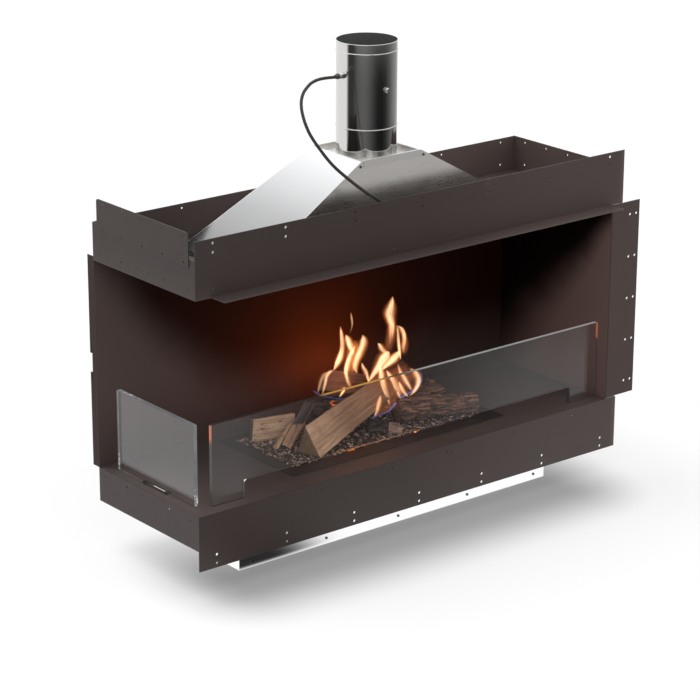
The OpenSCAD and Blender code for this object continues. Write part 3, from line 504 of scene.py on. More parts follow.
def side_painted_glints(p):
    """Small painted glints along the top edge and low on the front edge."""
    upright = upright_edge(p)
    top = p.between(p.y, 0.02, 0.12) * (1.0 - upright)
    foot = p.between(p.z, 0.26, 0.23) * upright
    places = p.math("MAXIMUM", top, foot, clamp=True)
    spots = p.between(p.noise(160, 3, 0.7), 0.5, 0.62) * places
    return p.mix(spots, (0.045, 0.05, 0.05), (0.75, 0.77, 0.76))


# Painted light: lighter copies of the casing's coat for the top tray and the base floor, where less
# light reaches
INNER_COAT = coat("inner_coat", (0.074, 0.055, 0.052), (0.080, 0.060, 0.056), 0.5)
FLOOR_COAT = coat("floor_coat", (0.088, 0.068, 0.064), (0.098, 0.076, 0.072), 0.5)
# Painted light: brighter towards the right end, where more daylight falls: where all of it shows,
# and how much it is
for paint, right, most in ((INNER_COAT, 0.45, 1.4), (FLOOR_COAT, 0.4, 1.25)):
    paint.brighten(paint.between(paint.x, 0.0, right, 1.0, most))
DARK_STEEL, BRIGHT_STEEL = (0.16, 0.155, 0.15), (0.75, 0.75, 0.74)
SHEET_LINES = 0.006 * MM

by_material = {
    outer_coat(): [
        "base_front_panel", "base_side_panel", "base_right_panel", "base_back_panel",
        "top_front_panel", "top_side_panel", "top_right_panel",
        "side_trim_plate", "side_glass_clip", "front_glass_rests",
    ],
    back_wall_coat(): ["firebox_back_wall"],
    right_wall_coat(): ["firebox_right_wall"],
    FLOOR_COAT: ["base_floor"],
    INNER_COAT: ["top_tray_floor", "top_back_panel"],
    coat("burner_coat", (0.048, 0.041, 0.038), (0.056, 0.048, 0.045), 0.5): ["burner_tray"],
    pipe_steel(): ["flue_pipe", "flue_spigot"],
    steel("hood_steel", (0.86, 0.83, 0.80), 0.28, SHEET_LINES, (0.3, 6, 6)): [
        "hood_front_sheet", "hood_back_sheet", "hood_right_sheet", "fuel_tank",
    ],
    steel("hood_left_steel", (0.835, 0.84, 0.85), 0.2, SHEET_LINES, (6, 0.3, 6), hood_painted_shade): [
        "hood_left_sheet",
    ],
    collar_steel(): ["hood_collar_plate"],
    steel("box_steel", (0.96, 0.96, 0.96), 0.2, 0.02 * MM, (0.25, 6, 6)): [
        "lower_box", "lower_box_cover",
    ],
    darkened("fastener_steel", DARK_STEEL, 0.4): ["collar_rivets", "cover_screws", "lead_gland"],
    fitting_steel(): ["sensor_fitting"],
    darkened("bright_steel", BRIGHT_STEEL, 0.18): [
        "hood_fixing_screws", "test_port_plug", "sensor_probe",
    ],
    glass("front_pane_glass", "Y", front_edge_painted_light, front_painted_glints): ["front_glass"],
    glass("side_pane_glass", "X", side_edge, side_painted_glints): ["side_glass"],
}
for paint, names in by_material.items():
    for name in names:
        nodes[name].data.materials.clear()
        nodes[name].data.materials.append(paint.mat)
# The panes let the studio's soft light through to the burner
for name in ("front_glass", "side_glass"):
    nodes[name].visible_shadow = False
    nodes[name].visible_diffuse = False

# ---- Braided sensor lead ----
LEAD_DIAMETER = 8 * MM
LEAD_ROUTE = [
    (-98, -14, 1134), (-125, -15, 1136), (-154, -20, 1137), (-180, -27, 1134), (-200, -35, 1127),
    (-218, -44, 1118), (-232, -54, 1104), (-241, -66, 1087), (-245, -78, 1069), (-246, -90, 1051),
    (-243, -103, 1030), (-233, -122, 1002), (-213, -146, 964), (-182, -166, 929), (-141, -181, 893),
    (-95, -192, 860), (-45, -199, 825), (10, -205, 790), (65, -209, 762), (120, -211, 747),
    (180, -210, 743), (260, -208, 743), (340, -210, 743), (420, -214, 743), (500, -214, 743),
    (570, -212, 745), (620, -212, 749), (657, -212, 751),
]
# How far apart the rings of points are along the lead, and how many points each has
LEAD_STEP, LEAD_SIDES = 0.0022, 20
# The strands that go round each way, and their turn in radians for each metre
STRANDS, STRAND_TURN = 5, 560


def lead_paint():
    p = Paint("lead_braid", Roughness=0.7, Sheen_Weight=0.15)
    threads = p.noise(1500, 2, 0.6)
    stops = [(0.0, (0.012, 0.010, 0.009)), (1.0, (0.065, 0.052, 0.045))]
    braid = p.ramp(p.attribute("weave"), stops)
    p.tint(p.mix(p.even(threads, 0.0, 0.5), braid, (0.03, 0.024, 0.02)))
    p.bump(threads, 0.1 * MM, 0.6)
    return p


def make_lead():
    path = spline([[c * MM for c in p] for p in LEAD_ROUTE], 16)
    travelled = np.concatenate([[0], np.cumsum(np.linalg.norm(np.diff(path, axis=0), axis=1))])
    length = travelled[-1]
    count = int(length / LEAD_STEP)
    even = np.linspace(0, length, count)
    line = np.stack([np.interp(even, travelled, path[:, k]) for k in range(3)], 1)
    heading = headings(line)
    heading[0], heading[-1] = (-1, 0, 0), (1, 0, 0)
    side = np.array([0.0, 1.0, 0.0])
    verts, strands = [], []
    for i in range(count):
        side = side - heading[i] * (side @ heading[i])
        side /= np.linalg.norm(side)
        other = np.cross(heading[i], side)
        for k in range(LEAD_SIDES):
            turn = 2 * math.pi * k / LEAD_SIDES
            one = math.sin(STRANDS * turn + even[i] * STRAND_TURN)
            two = math.sin(STRANDS * turn - even[i] * STRAND_TURN)
            weave = max(one, two)
            size = 0.9 if i in (0, count - 1) else 0.93 + 0.07 * weave
            radius = LEAD_DIAMETER / 2 * size
            verts.append(line[i] + radius * (math.cos(turn) * side + math.sin(turn) * other))
            strands.append(weave)
    faces = tube_faces(count, LEAD_SIDES)
    piece = add_object("braided_lead", verts, faces, "casing", [lead_paint()], weave=strands)
    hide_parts("sensor_lead")
    return length


LEAD_LENGTH = make_lead()

# ---- Burner: bed of chips ----
PAN_X = 310.5 * MM
PAN_Y0, PAN_Y1 = -117 * MM, 131 * MM
BED_TOP = 212 * MM
BED_LOW = 186 * MM
# Painted shade: the bed under the loose chips is painted dark, for the shade in the gaps between
# them
BED_PAINTED_SHADE = 0.1
CHIP_COUNT = 3400
CHIP_SIZE = 2.6, 5.4
# Where chips glow along the front edge of the bed: x, and how far each way. Those within a
# depth of the edge are tried, and a share of them glows
EMBERS = [(-0.123, 0.012), (0.090, 0.010)]
EMBER_DEPTH, EMBER_SHARE = 11 * MM, 0.75


def bed_height(x, y):
    swell = waves(x * 14, y * 14, 2.0) * 1.2 * MM
    fine = waves(x * 160, y * 160, 5.0) * 1.5 * MM
    return BED_TOP - 3 * MM + swell + fine


def chip_paint(name):
    """Broken stone. "tone" is how bright a chip is, with painted shade in it, and "glow" how much
    of it glows.
    """
    p = Paint(name, Roughness=0.85, Emission_Strength=1.0)
    grit = p.noise(420, 4, 0.7)
    tone = grit * 0.45 + p.noise(120, 3, 0.6) * 0.55
    stops = [(0.32, (0.03, 0.018, 0.014)), (0.48, (0.42, 0.255, 0.19)), (0.64, (0.88, 0.60, 0.47))]
    p.tint(p.ramp(tone, stops))
    p.brighten(p.between(p.attribute("tone"), 0.0, 1.0, 0.10, 1.15))
    p.bump(grit, 1.2 * MM, 0.8)
    p.set("Emission Color", p.mix(p.attribute("glow"), BLACK, (1.0, 0.30, 0.03)))
    return p


def make_bed():
    """The bed under the loose chips: an uneven top, walls, and a bottom like the top."""
    nx, ny, gap = 120, 48, 1 * MM
    verts, faces = [], []
    for i in range(nx + 1):
        for j in range(ny + 1):
            x = -PAN_X + gap + (2 * PAN_X - 2 * gap) * i / nx
            y = PAN_Y0 + gap + (PAN_Y1 - PAN_Y0 - 2 * gap) * j / ny
            verts.append((x, y, bed_height(x, y)))
    low = len(verts)
    verts += [(v[0], v[1], BED_LOW) for v in verts]
    n = ny + 1
    for a in range(0, nx * n, n):
        b = a + n
        for j in range(ny):
            faces.append((a + j, b + j, b + j + 1, a + j + 1))
            faces.append((low + a + j + 1, low + b + j + 1, low + b + j, low + a + j))
        faces.append((low + a, low + b, b, a))
        faces.append((a + ny, b + ny, low + b + ny, low + a + ny))
    for a in range(ny):
        b = nx * n + a
        faces.append((a, a + 1, low + a + 1, low + a))
        faces.append((b, low + b, low + b + 1, b + 1))
    tones, glows = [BED_PAINTED_SHADE] * len(verts), [0.0] * len(verts)
    paints = [chip_paint("bed_grit")]
    piece = add_object("bed_base", verts, faces, "burner", paints, tone=tones, glow=glows)
    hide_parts("chip_bed")


CHIP = np.array([
    (-1, -1, -0.7), (1, -1, -0.8), (1, 1, -0.7), (-1, 1, -0.6),
    (-0.7, -0.8, 0.8), (0.8, -0.6, 0.6), (0.6, 0.8, 0.8), (-0.8, 0.7, 0.5),
])
CHIP_FACES = [(0, 3, 2, 1), (4, 5, 6, 7), (0, 1, 5, 4), (1, 2, 6, 5), (2, 3, 7, 6), (3, 0, 4, 7)]
FULL_TURN = 6.283


def make_chips():
    verts, faces, tones, glows = [], [], [], []
    draw = np.random.default_rng(5)
    for _ in range(CHIP_COUNT):
        x = draw.uniform(-PAN_X + 5 * MM, PAN_X - 4 * MM)
        y = draw.uniform(PAN_Y0 + 4 * MM, PAN_Y1 - 4 * MM)
        size = draw.uniform(*CHIP_SIZE) * MM
        shape = CHIP * draw.uniform(0.6, 1.15, CHIP.shape) * (1, draw.uniform(0.5, 0.9), 0.6)
        turn = Matrix.Rotation(draw.uniform(0, FULL_TURN), 3, "Z")
        turn = turn @ Matrix.Rotation(draw.uniform(-0.5, 0.5), 3, "X")
        place = np.array((x, y, bed_height(x, y) + size * draw.uniform(0.0, 0.6)))
        points = shape @ np.array(turn).T * size + place
        points[:, 2] = np.minimum(points[:, 2], BED_TOP + 3.5 * MM)
        start = len(verts)
        verts.extend(points)
        faces.extend([tuple(start + k for k in q) for q in CHIP_FACES])
        # Painted shade: the lower half of a chip is painted darker, for its own shade
        tone = 0.08 + 1.1 * draw.uniform() ** 2
        tones.extend([tone * 0.2] * 4 + [tone] * 4)
        near_edge = y < PAN_Y0 + EMBER_DEPTH
        lit = near_edge and any(abs(x - middle) < width for middle, width in EMBERS)
        lit = lit and draw.uniform() < EMBER_SHARE
        glows.extend([draw.uniform(0.4, 1.0) if lit else 0.0] * 8)
    paints = [chip_paint("chip_grit")]
    piece = add_object(
        "loose_chips", verts, faces, "burner", paints, smooth=False, tone=tones, glow=glows
    )


make_bed()
make_chips()


# ---- Burner: ceramic logs ----
def burn(p, wood, tint):
    """Turns the colour to a tint where "char" says."""
    p.tint(p.mix(p.between(p.attribute("char"), 0.3, 0.9), wood, tint))


def wood_paint(name, dark, mid, light, cracked=0.0, singe=None):
    """Painted split wood, charred where "char" says. singe gives the tints that it turns to
    as char goes from 0 to 1, instead of black."""
    p = Paint(name, Roughness=0.75)
    grain, char = p.attribute("grain", "Vector"), p.attribute("char")
    bent = p.vector("ADD", grain, p.noise(9, 3, 0.5, source=grain) * 0.012)
    fibre = p.noise(1, 5, 0.65, stretch=(9, 330, 60), source=bent)
    coarse = p.noise(1, 4, 0.6, stretch=(3, 60, 20), source=bent)
    tone = fibre * 0.55 + coarse * 0.45
    wood = p.ramp(tone, [(0.34, dark), (0.5, mid), (0.64, light)])
    wood = p.mix(p.between(p.noise(22, 4, 0.6), 0.52, 0.75) * 0.5, wood, dark)
    if cracked:
        split = abs(p.noise(1, 3, 0.6, stretch=(10, 70, 30), source=bent) - 0.5)
        wood = p.mix(p.between(split, 0.003, 0.02, cracked, 0.0), wood, toned(dark, 0.15))
    if singe:
        wood = p.mix(1.0, wood, p.ramp(char, singe), "MULTIPLY")
    else:
        ash = p.ramp(coarse, [(0.35, (0.028, 0.020, 0.019)), (0.62, (0.17, 0.12, 0.11))])
        wood = p.mix(p.between(char + fibre * 0.3, 0.45, 0.85), wood, ash)
    p.tint(wood)
    p.bump(tone, 1.6 * MM, 0.8)
    return p


EMBER_TONES = [(0.0, BLACK), (0.5, (0.9, 0.12, 0.01)), (1.0, (1.0, 0.5, 0.12))]


def bark_paint(name, dark, light, ember=None, char_tint=(0.008, 0.007, 0.007)):
    """Painted bark: dark furrows between paler plates. ember is a place that still glows."""
    p = Paint(name, Roughness=0.85)
    plates = p.noise(1, 5, 0.7, stretch=(16, 150, 40), source=p.attribute("grain", "Vector"))
    grit = p.noise(260, 4, 0.7)
    tone = plates * 0.4 + (grit * 0.25 + p.attribute("lift") * 0.45)
    middle = tuple(0.65 * a + 0.35 * b for a, b in zip(dark, light))
    burn(p, p.ramp(tone, [(0.36, dark), (0.56, middle), (0.78, light)]), char_tint)
    p.bump(tone, 3 * MM, 0.9)
    if ember:
        near = p.between(p.vector("DISTANCE", p.coords, ember, "Value"), 0.004, 0.014, 1.0, 0.0)
        cells = {"Vector": p.coords, "Scale": 95}
        edge = p.add("ShaderNodeTexVoronoi", cells, out="Distance", feature="DISTANCE_TO_EDGE")
        p.set("Emission Color", p.ramp(near * p.between(edge, 0.0, 0.22, 1.0, 0.0), EMBER_TONES))
        p.set("Emission Strength", 0.45)
    return p


def end_paint(name, dark, light, char_tint=(0.012, 0.009, 0.008)):
    """A sawn or split end: faint growth rings, cross cuts and cracks."""
    p = Paint(name, Roughness=0.8)
    rings = p.noise(1, 3, 0.6, stretch=(420, 14, 14), source=p.attribute("grain", "Vector"))
    tone = rings * 0.5 + p.noise(70, 5, 0.75) * 0.5
    burn(p, p.ramp(tone, [(0.32, dark), (0.62, light)]), char_tint)
    p.bump(tone, 1.5 * MM, 0.8)
    return p


# Dark, middle and light
TAN_TONES = (0.25, 0.135, 0.08), (0.57, 0.335, 0.205), (0.78, 0.50, 0.32)
RED_TONES = (0.07, 0.033, 0.022), (0.17, 0.085, 0.055), (0.27, 0.15, 0.10)
BARK_TONES = (0.014, 0.007, 0.005), (0.32, 0.145, 0.092)
SINGED = (0.10, 0.05, 0.035)
SINGE = [
    (0.0, 1.0), (0.5, (0.54, 0.49, 0.45)), (0.7, (0.45, 0.34, 0.28)), (1.0, (0.18, 0.08, 0.06)),
]
TAN = wood_paint("split_tan", *TAN_TONES, cracked=0.8)
TAN_SINGED = wood_paint("split_tan_singed", *TAN_TONES, cracked=0.25, singe=SINGE)
RED = wood_paint("split_red", *RED_TONES)
BARK = bark_paint("bark_brown", *BARK_TONES)
BARK_SINGED = bark_paint("bark_singed", *BARK_TONES, char_tint=SINGED)
# Darker bark for the logs at the back and under the diagonal log, painted darker still for the
# shade that they lie in; it keeps an ember that glows
DARK_BARK = bark_paint(
    "bark_dark", (0.006, 0.004, 0.0035), (0.13, 0.078, 0.06), ember=(-0.032, 0.076, 0.262)
)
END = end_paint("log_end", (0.13, 0.072, 0.036), (0.262, 0.145, 0.076), char_tint=SINGED)
END_GREY = end_paint("log_end_grey", (0.18, 0.106, 0.08), (0.51, 0.31, 0.24))
END_RED = end_paint("log_end_red", (0.08, 0.042, 0.028), (0.24, 0.13, 0.085))

# The surfaces of a log's sides and ends, the rings of points in an end, and how far apart
# the logs lie in their grain
SPLIT, ROUGH, CUT = 0, 1, 2
CAP_RINGS = 4
GRAIN_STEP = 0.37
ROUND_SIDES = 12
LOG_Z = 212.3


def resampled(outline, per_side):
    """Points along an outline that stands on the chips, with the side that each is on."""
    points, sides = [], []
    corners = np.array(outline) + (0, 0, LOG_Z)
    for i, (a, b) in enumerate(zip(corners, np.roll(corners, -1, axis=0))):
        points += [a + (b - a) * k / per_side for k in range(per_side)]
        sides += [i] * per_side
    return np.array(points), sides


def round_end(c, r, turn):
    """An outline round c with radius r, turned about the upright."""
    t = math.radians(turn)
    out = []
    for i in range(ROUND_SIDES):
        a = 2 * math.pi * i / ROUND_SIDES
        across, rise = r * math.cos(a), r * math.sin(a)
        out.append((c[0] - across * math.sin(t), c[1] + across * math.cos(t), c[2] + rise))
    return out


def relief(kind, s, t, seed):
    """How deep and how light a side is at s along the log and t round it, in millimetres."""
    if kind == SPLIT:
        fibre = waves(s * 0.012, t * 0.16, seed)
        step = waves(s * 0.02, t * 0.035, seed + 9)
        fine = waves(s * 0.05, t * 0.55, seed + 4)
        return 0.5 + 0.45 * fibre + 0.5 * step + 0.25 * fine, 0.5 + 0.5 * fibre
    swirl = waves(s * 0.03, t * 0.05, seed + 2) * 8
    ridge = abs(waves((s + swirl) * 0.022, (t + swirl) * 0.13, seed))
    chunk = abs(waves(s * 0.07, t * 0.24, seed + 6))
    high = min(1.0, 2.6 * ridge) * 0.65 + min(1.0, 2.2 * chunk) * 0.35
    return 1.35 * (1 - high), high


def make_log(
    name, near, far, kinds, seed, paints=(TAN, BARK, END), rings=80, per_side=16, rough=3.0,
    char=None, fray=0.0,
):
    """A loft between two outlines, in millimetres, that stands for the CAD log. kinds gives
    each side's surface, paints how split sides, rough sides and ends look, rough how deep
    the surface goes, and fray how far the far end is torn."""
    a, sides = resampled(near, per_side)
    b, _ = resampled(far, per_side)
    n = len(a)
    length = np.linalg.norm(b.mean(0) - a.mean(0))
    forwards = (b.mean(0) - a.mean(0)) / length
    around = np.concatenate([[0], np.cumsum(np.linalg.norm(np.diff(a, axis=0), axis=1))])
    verts, grain, lift, faces, looks = [], [], [], [], []
    for r in range(rings + 1):
        share = r / rings
        ring = a + (b - a) * share
        centre = ring.mean(0)
        s = share * length
        for p, t, side in zip(ring, around, sides):
            inward = centre - p
            reach = max(np.linalg.norm(inward), 1)
            depth, high = relief(kinds[side], s, t, seed)
            # What lies on the chips stays flat
            amount = 0.0 if p[2] < LOG_Z + 1 else rough * max(0.0, min(1.6, depth))
            q = p + inward / reach * min(amount, reach * 0.5)
            torn = fray * max(0.0, share - 0.8) / 0.2 * waves(t * 0.22, seed * 3.1, 0.4)
            verts.append((q + forwards * torn) * MM)
            grain.append((s * MM, t * MM, seed * GRAIN_STEP))
            lift.append(high)
    for r in range(0, rings * n, n):
        for k in range(n):
            m = (k + 1) % n
            faces.append((r + k, r + n + k, r + n + m, r + m))
            looks.append(kinds[sides[k]])
    for first, outwards, order in ((0, -forwards, 1), (rings * n, forwards, -1)):
        rim = verts[first : first + n]
        centre = sum(rim) / n
        outer = range(first, first + n)
        for c in range(1, CAP_RINGS):
            inner = range(len(verts), len(verts) + n)
            shrink = 1 - c / CAP_RINGS
            for k in range(n):
                q = centre + (rim[k] - centre) * shrink
                saw = waves(q[0] * 90, q[1] * 90, q[2] * 90 + seed) * 0.9 * MM
                verts.append(q - outwards * abs(saw))
                from_centre = shrink * np.linalg.norm(rim[k] - centre)
                grain.append((from_centre, k / n * 0.1, seed * GRAIN_STEP))
                m = (k + 1) % n
                faces.append((outer[k], outer[m], inner[m], inner[k])[::order])
            outer = inner
        hub = len(verts)
        verts.append(centre)
        grain.append((0.0, 0.0, seed * GRAIN_STEP))
        faces += [(outer[k], outer[(k + 1) % n], hub)[::order] for k in range(n)]
    lift += [0.5] * (len(verts) - len(lift))
    looks += [CUT] * (len(faces) - len(looks))
    burnt = [char(Vector(v) / MM) if char else 0.0 for v in verts]
    return add_object(
        name, verts, faces, "burner", paints, looks=looks, grain=grain, lift=lift, char=burnt
    )


def clamped(share):
    return max(0.0, min(1.0, share))


LOGS = {
    "log_diagonal": dict(
        near=[(-222, -112, 0), (-234, -64, 76), (-242, -41, 0)],
        far=[(206, 20, 92), (166, 40, 136), (180, 76, 74)],
        kinds=[SPLIT, SPLIT, ROUGH], paints=[TAN_SINGED, BARK_SINGED, END], per_side=22, rings=120,
        char=lambda p: 0.5 * clamped((p.x + 185) / 95) + 0.5 * clamped((p.x + 20) / 130),
    ),
    "log_bark_right": dict(
        near=round_end((84, -36, 35), 35, -14.5),
        far=round_end((300, -94, 27), 27, -14.5),
        kinds=[ROUGH] * ROUND_SIDES, paints=[TAN, BARK, END_RED], per_side=8, rings=110, rough=5.0,
    ),
    "log_left": dict(
        near=[(-285, 86, 0), (-272, 96, 54), (-262, 126, 44), (-262, 128, 0)],
        far=[(-177, 45, 0), (-169, 60, 59), (-155, 91, 48), (-153, 95, 0)],
        kinds=[SPLIT, SPLIT, ROUGH, SPLIT],
    ),
    "log_back_left": dict(
        near=[(-66, 86, 85.6), (-30, 92, 135.6), (-42, 118, 103.6), (-48, 112, 69.6)],
        far=[(66, 60, 54.6), (70, 66, 106.6), (84, 100, 84.6), (80, 96, 50.6)],
        kinds=[SPLIT, SPLIT, ROUGH, ROUGH], paints=[RED, DARK_BARK, END_RED],
        char=lambda p: 0.35 + 0.3 * max(0.0, (-20 - p.x) / 50),
    ),
    "log_rear_support": dict(
        near=round_end((-100, 104, 31), 31, -6),
        far=round_end((200, 78, 24), 24, -6),
        kinds=[ROUGH] * ROUND_SIDES, paints=[TAN, DARK_BARK, END_RED],
        per_side=7, rings=100, rough=4.0,
    ),
    "log_centre_low": dict(
        near=[(-18, -50, 0), (-12, -42, 24), (-2, -28, 32), (10, -8, 28), (14, 2, 0)],
        far=[(20, -78, 0), (19, -80, 38), (32, -108, 36), (54, -102, 14), (46, -104, 0)],
        kinds=[ROUGH] * 5, paints=[TAN, DARK_BARK, END_GREY],
    ),
    "log_bark_back": dict(
        near=[(232, 66, 0), (240, 76, 24), (262, 100, 40), (250, 122, 10), (246, 124, 0)],
        far=[(338, 56, 0), (330, 66, 18), (302, 92, 42), (318, 116, 12), (326, 118, 0)],
        kinds=[ROUGH] * 5, per_side=12,
    ),
    "splinter_charred": dict(
        near=[(-254, 6, 10), (-240, -13, 0), (-224, -4, 3), (-238, 16, 11)],
        far=[(-140, 62, 80), (-124, 44, 76), (-108, 53, 70), (-122, 70, 74)],
        kinds=[SPLIT] * 4, per_side=10, rough=2.6, fray=22.0,
        char=lambda p: max(0.0, min(1.2, (p.z - LOG_Z - 36) / 12)),
    ),
    "stick_leaning": dict(
        near=[(-276, 14, 2), (-264, 6, 0), (-254, 14, 2), (-266, 25, 5)],
        far=[(-200, 48, 42), (-188, 41, 46), (-178, 48, 42), (-190, 56, 40)],
        kinds=[SPLIT] * 4, per_side=8, rough=1.0,
    ),
}
for seed, (node, spec) in enumerate(LOGS.items()):
    made = make_log("ceramic_" + node, seed=seed + 1, **spec)
    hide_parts(node)


# ---- Flames ----
FLAME_STRENGTH = 8.0


def flame_paint():
    """Glowing gas: each thin shell adds a little light, so that the middle of a tongue is pale
    and its skin is a faint orange."""
    p = Paint("flame_glow", Roughness=1.0, Specular_IOR_Level=0.0, Base_Color=BLACK)
    streak = p.noise(1, 3, 0.6, stretch=(7, 5, 1), source=p.attribute("grain", "Vector"))
    stops = [(0.0, (1.0, 0.25, 0.06)), (0.4, (1.0, 0.45, 0.16)), (1.0, (1.0, 0.80, 0.52))]
    colour = p.ramp(p.attribute("warmth"), stops)
    p.set("Emission Color", p.mix(p.attribute("blue"), colour, (0.12, 0.30, 1.0)))
    p.set("Emission Strength", FLAME_STRENGTH)
    density = p.attribute("fade") * p.between(streak, 0.3, 0.68, 0.35, 1.4)
    p.set("Alpha", p.math("MULTIPLY", density, 1.0 / FLAME_STRENGTH, clamp=True))
    return p


FLAME = flame_paint()
# The axis that each tongue is widest along
WIDE = Vector((0.79, -0.61, 0))
# The sides of a flame's shells, and how deep tongues and veils are for their width
FLAME_SIDES, TONGUE_DEPTH, VEIL_DEPTH = 16, 0.55, 0.15
FLAME_STEPS = 7
# The size of the streaks in a flame, in millimetres
STREAK_WIDTH, STREAK_LENGTH = 42, 200

# Shells one in another: share of the half width, warmth, and the light that each adds
TONGUE = [
    (1.65, 0.0, 0.05), (1.32, 0.1, 0.12), (1.05, 0.35, 0.20), (0.8, 0.75, 0.27), (0.5, 1.0, 0.28),
]
VEIL = [(1.0, 0.0, 0.09), (0.8, 0.1, 0.08), (0.6, 0.2, 0.08)]
BLUE = [(1.6, 0.0, 0.06), (1.0, 0.0, 0.10), (0.5, 0.0, 0.12)]
